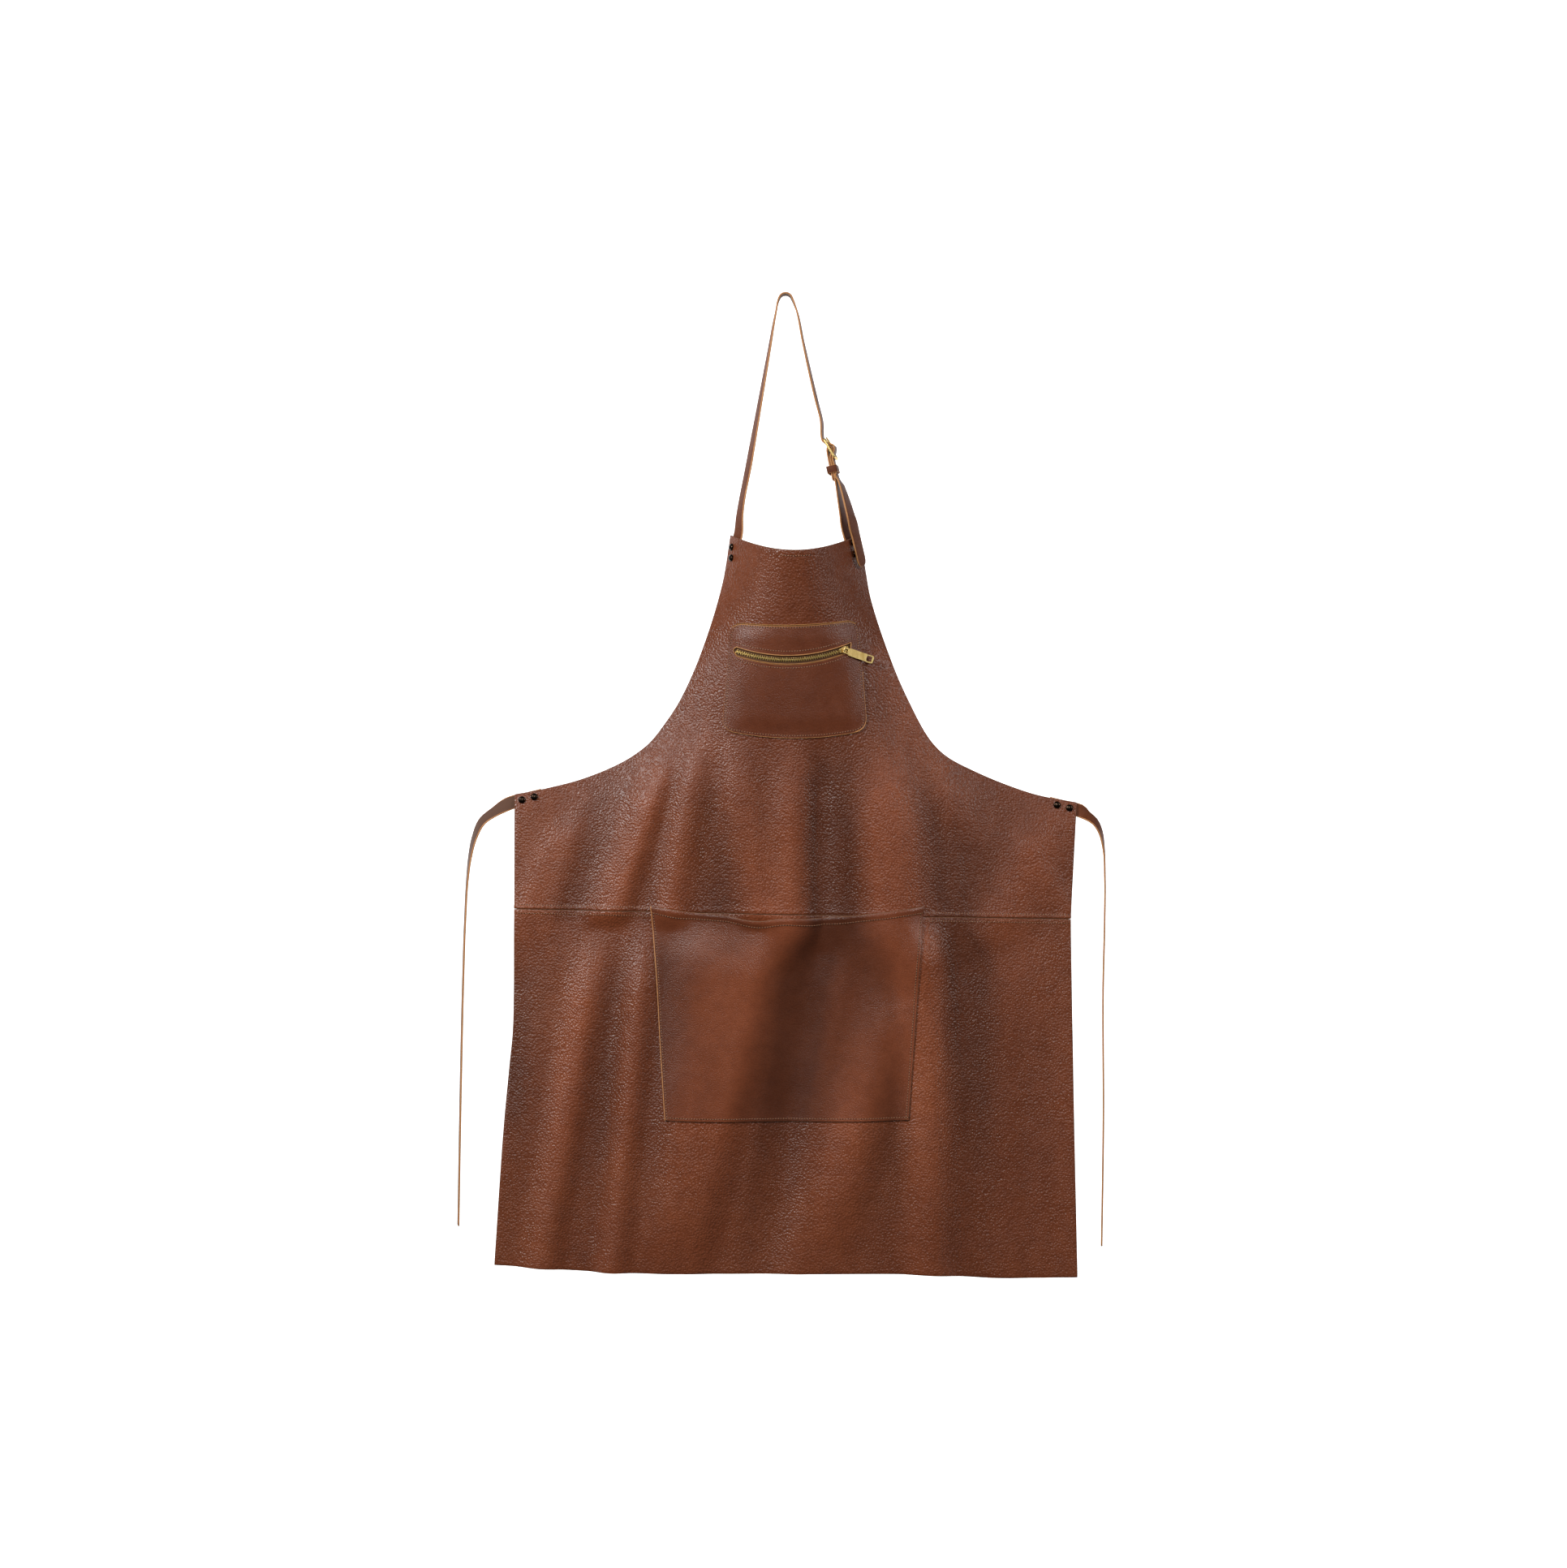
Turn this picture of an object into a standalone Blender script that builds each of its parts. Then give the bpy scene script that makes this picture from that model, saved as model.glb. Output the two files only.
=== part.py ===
"""Leather work apron, hanging by its neck strap. Metres, +Z up, front faces -Y.

The origin is the underside of the neck strap where it hangs, at the top of its loop.
"""

import math

import bmesh
import bpy
from mathutils import Matrix, Vector

# Heights, downwards from the hanging point
NECK_DROP = 0.2815
BIB_HEIGHT = 0.4425
SKIRT_HEIGHT = 0.4185
ARMHOLE_HEIGHT = 0.3075

# Widths as seen from the front, and how far each line's middle lies to the right
BIB_WIDTH = 0.150
BIB_SHIFT = 0.0105
WAIST_WIDTH = 0.651
WAIST_SHIFT = 0.0081
HEM_WIDTH = 0.681
HEM_SHIFT = 0.0005
WAIST_TILT = 0.012
TIE_CORNER_TILT = 0.0095
TIE_CORNER_FLARE = 0.0075
BIB_SCOOP = 0.023
HEM_DIP = 0.010

# Leather
PANEL_THICK = 0.0018
POCKET_THICK = 0.0015
STRAP_THICK = 0.0020
GAP = 0.0003
STRAP_SEAT = 0.0009

# Curl of the bib and height of the folds
CURL_DEPTH = 0.120
CURL_HALF_WIDTH = 0.094
FOLD_HEIGHT = 0.010

# Chest pocket and its zip
CHEST_POCKET_TOP = 0.0985
CHEST_POCKET_HEIGHT = 0.1295
CHEST_POCKET_WIDTH = 0.1475
CHEST_POCKET_SPREAD = 0.0215
CHEST_POCKET_RADIUS = 0.016
CHEST_POCKET_BOW = 0.0080
CHEST_POCKET_BOTTOM_BOW = 0.0096
CHEST_POCKET_LOFT = 0.0024
ZIP_DROP = 0.0350
ZIP_LENGTH = 0.1330
ZIP_SHIFT = 0.0030
ZIP_STAND = 0.0008
ZIP_SLOT_HEIGHT = 0.0098
ZIP_BOW = 0.0130
ZIP_CHAIN_WIDTH = 0.0052
ZIP_CHAIN_THICK = 0.0018
ZIP_TAPE_WIDTH = 0.0240
ZIP_TAPE_THICK = 0.0006
SLIDER_LENGTH = 0.0100
SLIDER_CHEEK = 0.0006
SLIDER_THICK = 0.0016
BRIDGE_WIRE = 0.0016
PULLER_LENGTH = 0.0400
PULLER_WIDTH = 0.0090
PULLER_THICK = 0.0014
PULLER_EYE = 0.0050
PULLER_EYE_WIDTH = 0.0034
PULLER_HOLE = 0.0050
PULLER_DROOP = math.radians(17.0)
PULLER_LEAN = math.radians(3.0)

# Front pocket
FRONT_POCKET_WIDTH = 0.3170
FRONT_POCKET_TAPER = 0.0330
FRONT_POCKET_HEIGHT = 0.2490
FRONT_POCKET_SHIFT = 0.0064
FRONT_POCKET_RISE = 0.0095
FRONT_POCKET_BOW = 0.0135
FRONT_POCKET_GAPE = 0.0150

# Neck strap, buckle and keeper
STRAP_WIDTH = 0.0200
HANG_RADIUS = 0.0070
BUCKLE_BAR_RADIUS = 0.0013
BUCKLE_BAR_SPACING = 0.0120
BUCKLE_CORNER = 0.0028
BUCKLE_TURN = math.radians(9.0)
BUCKLE_TILT = math.radians(30.0)
STACK_TILT = math.radians(13.0)
STRAP_BULGE = 0.0069
PRONG_WIDTH = 0.0022
PRONG_THICK = 0.0016
PRONG_OVERHANG = 0.0031
PRONG_EYE_WALL = 0.0010
KEEPER_DROP = 0.0085
KEEPER_LENGTH = 0.0110
KEEPER_THICK = 0.0014
KEEPER_SLACK = 0.0022
TAIL_STAND = 0.0105
LEFT_STRAP_END = 0.55
RIGHT_STRAP_END = 0.80
ANCHOR_OVERRUN = 1.05
ANCHOR_LEAN = 0.30

# Turns of the straps about the hanging point and the buckle's bars, in degrees, and how
# far their layers run on under the buckle
HANG_TURNS = (165.0, 140.0, 115.0, 90.0, 65.0, 40.0, 15.0)
TOP_BAR_TURNS = (-115.0, -88.0, -58.0)
LOW_BAR_TURN = -132.0
LAYER_REACHES = (0.009, 0.022)
FOLD_INNER_REACHES = (0.025, 0.012, 0.003)
FOLD_INNER_TURN = -122.0
FOLD_TURNS = (-112.0, -145.0, 180.0, 140.0, 95.0, 53.0)
FOLD_OUTER_REACHES = (0.001, 0.012, 0.025)
ANCHOR_BLENDS = (0.35, 0.70)

# Waist ties
TIE_WIDTH = 0.0160
LEFT_TIE_REACH = 0.0625
RIGHT_TIE_REACH = 0.0295
LEFT_TIE_DROP = 0.4960
RIGHT_TIE_DROP = 0.5100
TIE_END_REACH = 0.65
TIE_EDGE_REACH = 0.86

# Rivets
RIVET_RADIUS = 0.0042
RIVET_DOME = 0.0026
RIVET_RIM = 0.0006
RIVET_POST = 0.0014
RIVET_BACK_RADIUS = 0.0036
RIVET_BACK_THICK = 0.0008
BIB_RIVET_SPACING = 0.0135
WAIST_RIVET_SPACING = 0.0145
WAIST_RIVET_INSET = 0.0082
WAIST_RIVET_DROP = 0.0062
WAIST_RIVET_SLOPE = 0.24

# Mesh density
ARMHOLE_COLUMNS = 14
BIB_COLUMNS = 18
BIB_ROWS = 17
SKIRT_ROWS = 11
SEAM_BIB_SHARE = 0.28
SEAM_ROW_RISE = 0.0234
CHEST_MARGIN_COLUMNS = 2
RIVET_SIDES = 8
WIRE_SIDES = 8
EYE_SIDES = 12
STRAP_STEP = 0.013
BUCKLE_STRAP_STEP = 0.009
TIE_STEP = 0.020
CUT_DEPTH = 0.4

# Armholes: shares of the armhole's height, and of the way out to the tie corner
ARMHOLE_LEFT = (
    {"down": 0.000, "out": 0.000},
    {"down": 0.188, "out": 0.038},
    {"down": 0.439, "out": 0.129},
    {"down": 0.627, "out": 0.227},
    {"down": 0.752, "out": 0.326},
    {"down": 0.815, "out": 0.394},
    {"down": 0.878, "out": 0.508},
    {"down": 0.940, "out": 0.686},
    {"down": 0.980, "out": 0.870},
    {"down": 1.000, "out": 1.000},
)
ARMHOLE_RIGHT = (
    {"down": 0.000, "out": 0.000},
    {"down": 0.100, "out": 0.026},
    {"down": 0.243, "out": 0.058},
    {"down": 0.486, "out": 0.156},
    {"down": 0.650, "out": 0.246},
    {"down": 0.760, "out": 0.322},
    {"down": 0.825, "out": 0.400},
    {"down": 0.881, "out": 0.528},
    {"down": 0.933, "out": 0.677},
    {"down": 0.973, "out": 0.825},
    {"down": 1.000, "out": 1.000},
)

# Side edges of the skirt: share of the skirt's height, and of the way from waist to hem
SKIRT_SIDES = (
    {"down": 0.00, "left": 0.00, "right": 0.00},
    {"down": 0.26, "left": 0.04, "right": 0.20},
    {"down": 0.35, "left": 0.09, "right": 0.30},
    {"down": 0.45, "left": 0.27, "right": 0.38},
    {"down": 0.62, "left": 0.54, "right": 0.55},
    {"down": 1.00, "left": 1.00, "right": 1.00},
)

# Hem: share across the hem, and of the hem's dip below or above its mean line
HEM_LINE = (
    {"across": 0.00, "dip": -0.95},
    {"across": 0.12, "dip": -0.40},
    {"across": 0.24, "dip": -0.10},
    {"across": 0.50, "dip": 0.05},
    {"across": 0.74, "dip": 0.10},
    {"across": 0.86, "dip": 0.62},
    {"across": 1.00, "dip": 0.52},
)

# Curl of the sheet. Level 0 is the bib corners, 1 the waist seam, 2 the hem.
# Depth and set-back are shares of the curl depth, half width a multiple of the curl's.
CURL = (
    {"level": 0.00, "depth": 1.000, "half_width": 1.00, "set_back": 0.358},
    {"level": 0.17, "depth": 0.783, "half_width": 1.18, "set_back": 0.298},
    {"level": 0.33, "depth": 0.533, "half_width": 1.50, "set_back": 0.192},
    {"level": 0.54, "depth": 0.375, "half_width": 2.02, "set_back": 0.150},
    {"level": 0.73, "depth": 0.250, "half_width": 2.45, "set_back": 0.083},
    {"level": 1.00, "depth": 0.150, "half_width": 2.66, "set_back": 0.050},
    {"level": 1.50, "depth": 0.083, "half_width": 2.77, "set_back": 0.017},
    {"level": 2.00, "depth": 0.050, "half_width": 2.98, "set_back": 0.000},
)

# Folds: a ridge from one level to another. Places and flank widths are shares of the
# waist width from its middle, heights are shares of the fold height, fades are levels.
FOLDS = (
    {"from": 0.50, "to": 1.02, "x0": -0.210, "x1": -0.318, "left": 0.075, "right": 0.042,
     "height": 0.75, "fade_in": 0.22, "fade_out": 0.08},
    {"from": 0.47, "to": 1.02, "x0": -0.163, "x1": -0.222, "left": 0.042, "right": 0.050,
     "height": 0.60, "fade_in": 0.20, "fade_out": 0.08},
    {"from": 0.48, "to": 1.02, "x0": -0.116, "x1": -0.061, "left": 0.060, "right": 0.055,
     "height": 0.62, "fade_in": 0.22, "fade_out": 0.08},
    {"from": 0.50, "to": 1.03, "x0": 0.005, "x1": 0.006, "left": 0.052, "right": 0.050,
     "height": 0.85, "fade_in": 0.25, "fade_out": 0.06},
    {"from": 0.40, "to": 1.05, "x0": 0.165, "x1": 0.196, "left": 0.105, "right": 0.085,
     "height": 1.15, "fade_in": 0.40, "fade_out": 0.10},
    {"from": 0.70, "to": 1.00, "x0": 0.470, "x1": 0.390, "left": 0.070, "right": 0.090,
     "height": 0.35, "fade_in": 0.12, "fade_out": 0.12},
    {"from": 0.72, "to": 0.98, "x0": -0.400, "x1": -0.470, "left": 0.050, "right": 0.070,
     "height": 0.30, "fade_in": 0.10, "fade_out": 0.12},
    {"from": 1.00, "to": 2.00, "x0": -0.345, "x1": -0.452, "left": 0.055, "right": 0.048,
     "height": 0.80, "fade_in": 0.08, "fade_out": 0.50},
    {"from": 1.00, "to": 2.00, "x0": -0.262, "x1": -0.326, "left": 0.048, "right": 0.046,
     "height": 0.95, "fade_in": 0.10, "fade_out": 0.45},
    {"from": 1.40, "to": 2.00, "x0": -0.520, "x1": -0.545, "left": 0.060, "right": 0.060,
     "height": 0.55, "fade_in": 0.30, "fade_out": 0.10},
    {"from": 0.98, "to": 1.80, "x0": -0.020, "x1": -0.150, "left": 0.150, "right": 0.075,
     "height": 0.95, "fade_in": 0.10, "fade_out": 0.50},
    {"from": 1.10, "to": 1.75, "x0": 0.215, "x1": 0.090, "left": 0.075, "right": 0.080,
     "height": 0.60, "fade_in": 0.25, "fade_out": 0.30},
    {"from": 1.00, "to": 2.00, "x0": 0.240, "x1": 0.252, "left": 0.070, "right": 0.055,
     "height": 1.05, "fade_in": 0.14, "fade_out": 0.55},
)

# Straps as seen from the front: shares of the bib width to the right of the hanging
# point and of the neck drop below it, with the turn of the strap's width out of depth.
LEFT_RUN = (
    {"across": -0.3576, "down": 0.932, "turn": -24.0},
    {"across": -0.2800, "down": 0.695, "turn": -20.0},
    {"across": -0.2025, "down": 0.460, "turn": -14.0},
    {"across": -0.1250, "down": 0.224, "turn": -8.0},
    {"across": -0.0760, "down": 0.075, "turn": -3.0},
)
RIGHT_RUN = (
    {"across": 0.0830, "down": 0.060, "turn": 3.0},
    {"across": 0.1350, "down": 0.190, "turn": 6.0},
    {"across": 0.1900, "down": 0.324, "turn": 9.0},
    {"across": 0.2450, "down": 0.450, "turn": 10.0},
    {"across": 0.2800, "down": 0.525, "turn": 9.0},
)
TAIL_RUN = (
    {"across": 0.4300, "down": 0.790, "turn": 12.0, "ease": 0.25},
    {"across": 0.4747, "down": 0.865, "turn": 20.0, "ease": 0.65},
    {"across": 0.5060, "down": 0.932, "turn": 28.0, "ease": 1.00},
    {"across": 0.5340, "down": 1.000, "turn": 36.0, "ease": 1.00},
    {"across": 0.5620, "down": 1.067, "turn": 42.0, "ease": 1.00},
    {"across": 0.5870, "down": 1.135, "turn": 44.0, "ease": 1.00},
)
BUCKLE_ACROSS = 0.350
BUCKLE_DOWN = 0.645

# Waist ties: shares of the tie's reach outwards and of its drop, and the turn of its
# width from upright towards the depth
LEFT_TIE_RUN = (
    {"out": 0.32, "down": 0.022, "turn": 42.0},
    {"out": 0.55, "down": 0.044, "turn": 52.0},
    {"out": 0.70, "down": 0.084, "turn": 64.0},
    {"out": 0.78, "down": 0.128, "turn": 72.0},
    {"out": 0.83, "down": 0.182, "turn": 78.0},
    {"out": 0.87, "down": 0.270, "turn": 80.0},
    {"out": 0.91, "down": 0.420, "turn": 80.0},
    {"out": 0.95, "down": 0.640, "turn": 80.0},
    {"out": 1.00, "down": 1.000, "turn": 80.0},
)
RIGHT_TIE_RUN = (
    {"out": 0.28, "down": 0.011, "turn": 44.0},
    {"out": 0.60, "down": 0.025, "turn": 56.0},
    {"out": 0.83, "down": 0.050, "turn": 68.0},
    {"out": 0.94, "down": 0.082, "turn": 78.0},
    {"out": 1.00, "down": 0.155, "turn": 83.0},
    {"out": 0.99, "down": 0.250, "turn": 84.0},
    {"out": 0.93, "down": 0.400, "turn": 84.0},
    {"out": 0.94, "down": 0.700, "turn": 84.0},
    {"out": 0.87, "down": 1.000, "turn": 84.0},
)

# Bib rivets: share of the bib width in from the corner, and of their spacing below it
BIB_RIVETS = (
    {"name": "rivet_bib_left_upper", "side": -1, "in": 0.012, "down": 1.06},
    {"name": "rivet_bib_left_lower", "side": -1, "in": 0.010, "down": 2.00},
    {"name": "rivet_bib_right_upper", "side": 1, "in": 0.051, "down": 0.70},
    {"name": "rivet_bib_right_lower", "side": 1, "in": 0.033, "down": 1.70},
)

LEATHER = {"color": (0.24, 0.085, 0.045), "roughness": 0.48, "metallic": 0.0}
STRAP_LEATHER = {"color": (0.20, 0.075, 0.040), "roughness": 0.55, "metallic": 0.0}
POCKET_LEATHER = {"color": (0.21, 0.078, 0.042), "roughness": 0.45, "metallic": 0.0}
BRASS = {"color": (0.70, 0.50, 0.20), "roughness": 0.30, "metallic": 1.0}
TAPE = {"color": (0.10, 0.055, 0.030), "roughness": 0.90, "metallic": 0.0}
DARK_METAL = {"color": (0.035, 0.022, 0.018), "roughness": 0.35, "metallic": 1.0}


def clear_scene():
    for obj in list(bpy.data.objects):
        bpy.data.objects.remove(obj, do_unlink=True)


def material(name, look):
    made = bpy.data.materials.new(name)
    made.use_nodes = True
    shader = made.node_tree.nodes["Principled BSDF"]
    shader.inputs["Base Color"].default_value = (*look["color"], 1.0)
    shader.inputs["Roughness"].default_value = look["roughness"]
    shader.inputs["Metallic"].default_value = look["metallic"]
    return made


def smooth_step(value):
    clamped = min(max(value, 0.0), 1.0)
    return clamped * clamped * (3.0 - 2.0 * clamped)


def table_value(table, key, column, at):
    """Value of a column where the key column is at, on a curve through the rows."""
    if at <= table[0][key]:
        return table[0][column]
    for index, upper in enumerate(table[1:], 1):
        if at <= upper[key]:
            lower = table[index - 1]
            before = table[max(index - 2, 0)]
            after = table[min(index + 1, len(table) - 1)]
            span = upper[key] - lower[key]
            share = (at - lower[key]) / span
            slope_in = (upper[column] - before[column]) / (upper[key] - before[key]) * span
            slope_out = (after[column] - lower[column]) / (after[key] - lower[key]) * span
            square, cube = share * share, share ** 3
            return (
                (2 * cube - 3 * square + 1) * lower[column]
                + (cube - 2 * square + share) * slope_in
                + (3 * square - 2 * cube) * upper[column]
                + (cube - square) * slope_out
            )
    return table[-1][column]


def level_at(z):
    """0 at the bib corners, 1 at the waist seam's middle, 2 at the hem."""
    below = -z - NECK_DROP
    if below <= BIB_HEIGHT:
        return below / BIB_HEIGHT
    return 1.0 + (below - BIB_HEIGHT) / SKIRT_HEIGHT


def curl_profile(share):
    """Cross-section of the curl: a parabola whose feet run out flat."""
    bend, foot = 0.8, 1.25
    away = abs(share)
    if away <= bend:
        return 1.0 - away * away
    if away >= foot:
        return 0.0
    return (1.0 - bend * bend) * ((foot - away) / (foot - bend)) ** 2


def fold_depth(x, level):
    across = (x - WAIST_SHIFT) / WAIST_WIDTH
    total = 0.0
    for fold in FOLDS:
        if level <= fold["from"] or level >= fold["to"] + fold["fade_out"]:
            continue
        along = (level - fold["from"]) / (fold["to"] - fold["from"])
        crest = fold["x0"] + (fold["x1"] - fold["x0"]) * along
        offset = across - crest
        width = fold["left"] if offset < 0.0 else fold["right"]
        if abs(offset) >= width:
            continue
        ridge = 0.5 + 0.5 * math.cos(math.pi * offset / width)
        rise = smooth_step((level - fold["from"]) / fold["fade_in"])
        fall = smooth_step((fold["to"] + fold["fade_out"] - level) / fold["fade_out"])
        total += fold["height"] * ridge * rise * fall
    return FOLD_HEIGHT * total


def face_depth(x, z):
    """Y of the panels' front face."""
    level = level_at(z)
    depth = table_value(CURL, "level", "depth", level) * CURL_DEPTH
    half_width = table_value(CURL, "level", "half_width", level) * CURL_HALF_WIDTH
    set_back = table_value(CURL, "level", "set_back", level) * CURL_DEPTH
    middle = BIB_SHIFT + (WAIST_SHIFT - BIB_SHIFT) * smooth_step(level)
    return set_back - depth * curl_profile((x - middle) / half_width) - fold_depth(x, level)


def face_point(x, z):
    return Vector((x, face_depth(x, z), z))


def face_normal(x, z):
    """Outward normal of the front face, towards the viewer."""
    step = 0.001
    slope_x = (face_depth(x + step, z) - face_depth(x - step, z)) / (2.0 * step)
    slope_z = (face_depth(x, z + step) - face_depth(x, z - step)) / (2.0 * step)
    return Vector((slope_x, -1.0, slope_z)).normalized()


def raised_point(place, height):
    """Point at a height above the front face, or below it where height is negative."""
    x, z = place
    return face_point(x, z) + face_normal(x, z) * height


def bib_corner(side):
    return BIB_SHIFT + side * BIB_WIDTH / 2.0, -NECK_DROP


def tie_corner(side):
    waist_x = WAIST_SHIFT + side * WAIST_WIDTH / 2.0
    flare = TIE_CORNER_FLARE if side > 0 else 0.0
    return waist_x + flare, -NECK_DROP - ARMHOLE_HEIGHT - side * TIE_CORNER_TILT / 2.0


def seam_place(across):
    x = WAIST_SHIFT + (across - 0.5) * WAIST_WIDTH
    return x, -NECK_DROP - BIB_HEIGHT - (across - 0.5) * WAIST_TILT


def armhole_place(side, share):
    """Place on an armhole, from the bib corner at 0 to the tie corner at 1."""
    table = ARMHOLE_LEFT if side < 0 else ARMHOLE_RIGHT
    top_x, top_z = bib_corner(side)
    end_x, end_z = tie_corner(side)
    across = abs(end_x - top_x)
    drop = abs(end_z - top_z)
    lengths = [0.0]
    for lower, upper in zip(table, table[1:]):
        step_x = (upper["out"] - lower["out"]) * across
        step_z = (upper["down"] - lower["down"]) * drop
        lengths.append(lengths[-1] + math.hypot(step_x, step_z))
    rows = [dict(row, length=at / lengths[-1]) for row, at in zip(table, lengths)]
    out = table_value(rows, "length", "out", share)
    down = table_value(rows, "length", "down", share)
    return top_x + side * out * across, top_z - down * drop


def bib_top_place(share):
    left_x, top_z = bib_corner(-1)
    right_x, _ = bib_corner(1)
    away = 2.0 * share - 1.0
    scoop = BIB_SCOOP * (1.0 - away * away)
    return left_x + (right_x - left_x) * share, top_z - scoop


def hem_place(across):
    x = HEM_SHIFT + (across - 0.5) * HEM_WIDTH
    dip = table_value(HEM_LINE, "across", "dip", across) * HEM_DIP
    return x, -NECK_DROP - BIB_HEIGHT - SKIRT_HEIGHT - dip


def column_tops():
    """Upper end of each grid column with its share across the waist seam."""
    side_share = (1.0 - SEAM_BIB_SHARE) / 2.0
    columns = []
    for index in range(ARMHOLE_COLUMNS):
        share = index / ARMHOLE_COLUMNS
        columns.append((armhole_place(-1, 1.0 - share), share * side_share))
    for index in range(BIB_COLUMNS):
        share = index / BIB_COLUMNS
        columns.append((bib_top_place(share), side_share + share * SEAM_BIB_SHARE))
    for index in range(ARMHOLE_COLUMNS + 1):
        share = index / ARMHOLE_COLUMNS
        columns.append((armhole_place(1, share), 1.0 - side_share + share * side_share))
    return columns


def bib_places():
    """Grid of places on the upper panel: columns of rows, from the top to the seam."""
    grid = []
    for top, across in column_tops():
        end = seam_place(across)
        edge = (end[0], end[1] + GAP / 2.0)
        height = top[1] - edge[1]
        turn = 1.0 - SEAM_ROW_RISE / height
        shares = [turn * row / (BIB_ROWS - 1) for row in range(BIB_ROWS)] + [1.0]
        grid.append(
            [
                (top[0] + (edge[0] - top[0]) * share, top[1] - height * share)
                for share in shares
            ]
        )
    return grid


def skirt_places():
    """Grid of places on the skirt: the same columns, from the seam to the hem."""
    grid = []
    for _, across in column_tops():
        seam_x, seam_z = seam_place(across)
        hem_x, hem_z = hem_place(across)
        column = []
        for row in range(SKIRT_ROWS + 1):
            down = row / SKIRT_ROWS
            spread_left = table_value(SKIRT_SIDES, "down", "left", down)
            spread_right = table_value(SKIRT_SIDES, "down", "right", down)
            spread = spread_left + (spread_right - spread_left) * across
            z = seam_z - GAP / 2.0 + (hem_z - seam_z) * down
            column.append((seam_x + (hem_x - seam_x) * spread, z))
        grid.append(column)
    return grid


def add_object(name, points, faces, look):
    mesh = bpy.data.meshes.new(name)
    mesh.from_pydata([tuple(point) for point in points], [], faces)
    mesh.update()
    made = bpy.data.objects.new(name, mesh)
    bpy.context.collection.objects.link(made)
    if look is not None:
        mesh.materials.append(look)
        mesh.shade_smooth()
        mesh.set_sharp_from_angle(angle=math.radians(35.0))
    return made


def sheet_solid(name, front, back, look):
    """Closed leather wall between two grids, each given as columns of rows."""
    columns, rows = len(front), len(front[0])
    points = [point for column in front for point in column]
    points += [point for column in back for point in column]
    behind = columns * rows

    def at(column, row):
        return column * rows + row

    faces = []
    for column in range(columns - 1):
        for row in range(rows - 1):
            a, b = at(column, row), at(column, row + 1)
            c, d = at(column + 1, row + 1), at(column + 1, row)
            faces += [(a, b, c), (a, c, d)]
            faces += [(a + behind, c + behind, b + behind), (a + behind, d + behind, c + behind)]
    rim = [at(0, row) for row in range(rows)]
    rim += [at(column, rows - 1) for column in range(1, columns)]
    rim += [at(columns - 1, row) for row in range(rows - 2, -1, -1)]
    rim += [at(column, 0) for column in range(columns - 2, 0, -1)]
    for first, second in zip(rim, rim[1:] + rim[:1]):
        faces += [(first, first + behind, second + behind), (first, second + behind, second)]
    return add_object(name, points, faces, look)


def loft(name, sections, look, closed=False):
    """Solid through sections of the same number of points, listed in turn."""
    count = len(sections[0])
    points = [point for section in sections for point in section]
    faces = []
    last = len(sections) if closed else len(sections) - 1
    for index in range(last):
        start, end = index * count, ((index + 1) % len(sections)) * count
        for corner in range(count):
            after = (corner + 1) % count
            faces += [
                (start + corner, start + after, end + after),
                (start + corner, end + after, end + corner),
            ]
    if not closed:
        faces.append(tuple(reversed(range(count))))
        faces.append(tuple(range((len(sections) - 1) * count, len(sections) * count)))
    made = add_object(name, points, faces, look)
    face_outwards(made)
    return made


def face_outwards(obj):
    shape = bmesh.new()
    shape.from_mesh(obj.data)
    bmesh.ops.recalc_face_normals(shape, faces=shape.faces)
    if shape.calc_volume(signed=True) < 0.0:
        bmesh.ops.reverse_faces(shape, faces=shape.faces)
    shape.to_mesh(obj.data)
    shape.free()


def as_cutter(obj):
    obj.hide_render = True
    obj.display_type = "WIRE"
    return obj


def prism_cutter(name, outline):
    """Cutter through the whole depth with an outline of places."""
    near = [Vector((x, -CUT_DEPTH, z)) for x, z in outline]
    far = [Vector((x, CUT_DEPTH, z)) for x, z in outline]
    return as_cutter(loft(name, [near, far], None))


def add_boolean(obj, cutter, operation):
    change = obj.modifiers.new(cutter.name, "BOOLEAN")
    change.operation = operation
    change.object = cutter
    change.solver = "EXACT"


def circle_section(centre, axis_a, axis_b, radius, sides):
    return [
        centre
        + axis_a * (radius * math.cos(2.0 * math.pi * side / sides))
        + axis_b * (radius * math.sin(2.0 * math.pi * side / sides))
        for side in range(sides)
    ]


def smooth_route(rows, spacing):
    """Rows of (point, width direction) on a curve through the rows given."""
    lengths = [(after[0] - here[0]).length for here, after in zip(rows, rows[1:])]

    def slope(index, part):
        if index in (0, len(rows) - 1):
            near = min(index, len(rows) - 2)
            return (rows[near + 1][part] - rows[near][part]) / lengths[near]
        before, after = lengths[index - 1], lengths[index]
        enter = (rows[index][part] - rows[index - 1][part]) / before
        leave = (rows[index + 1][part] - rows[index][part]) / after
        return (enter * after + leave * before) / (before + after)

    routed = []
    for index, length in enumerate(lengths):
        steps = max(1, round(length / spacing))
        for step in range(steps):
            share = step / steps
            square, cube = share ** 2, share ** 3
            routed.append(
                tuple(
                    rows[index][part] * (2.0 * cube - 3.0 * square + 1.0)
                    + slope(index, part) * (length * (cube - 2.0 * square + share))
                    + rows[index + 1][part] * (3.0 * square - 2.0 * cube)
                    + slope(index + 1, part) * (length * (cube - square))
                    for part in (0, 1)
                )
            )
    routed.append(rows[-1])
    return routed


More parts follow.
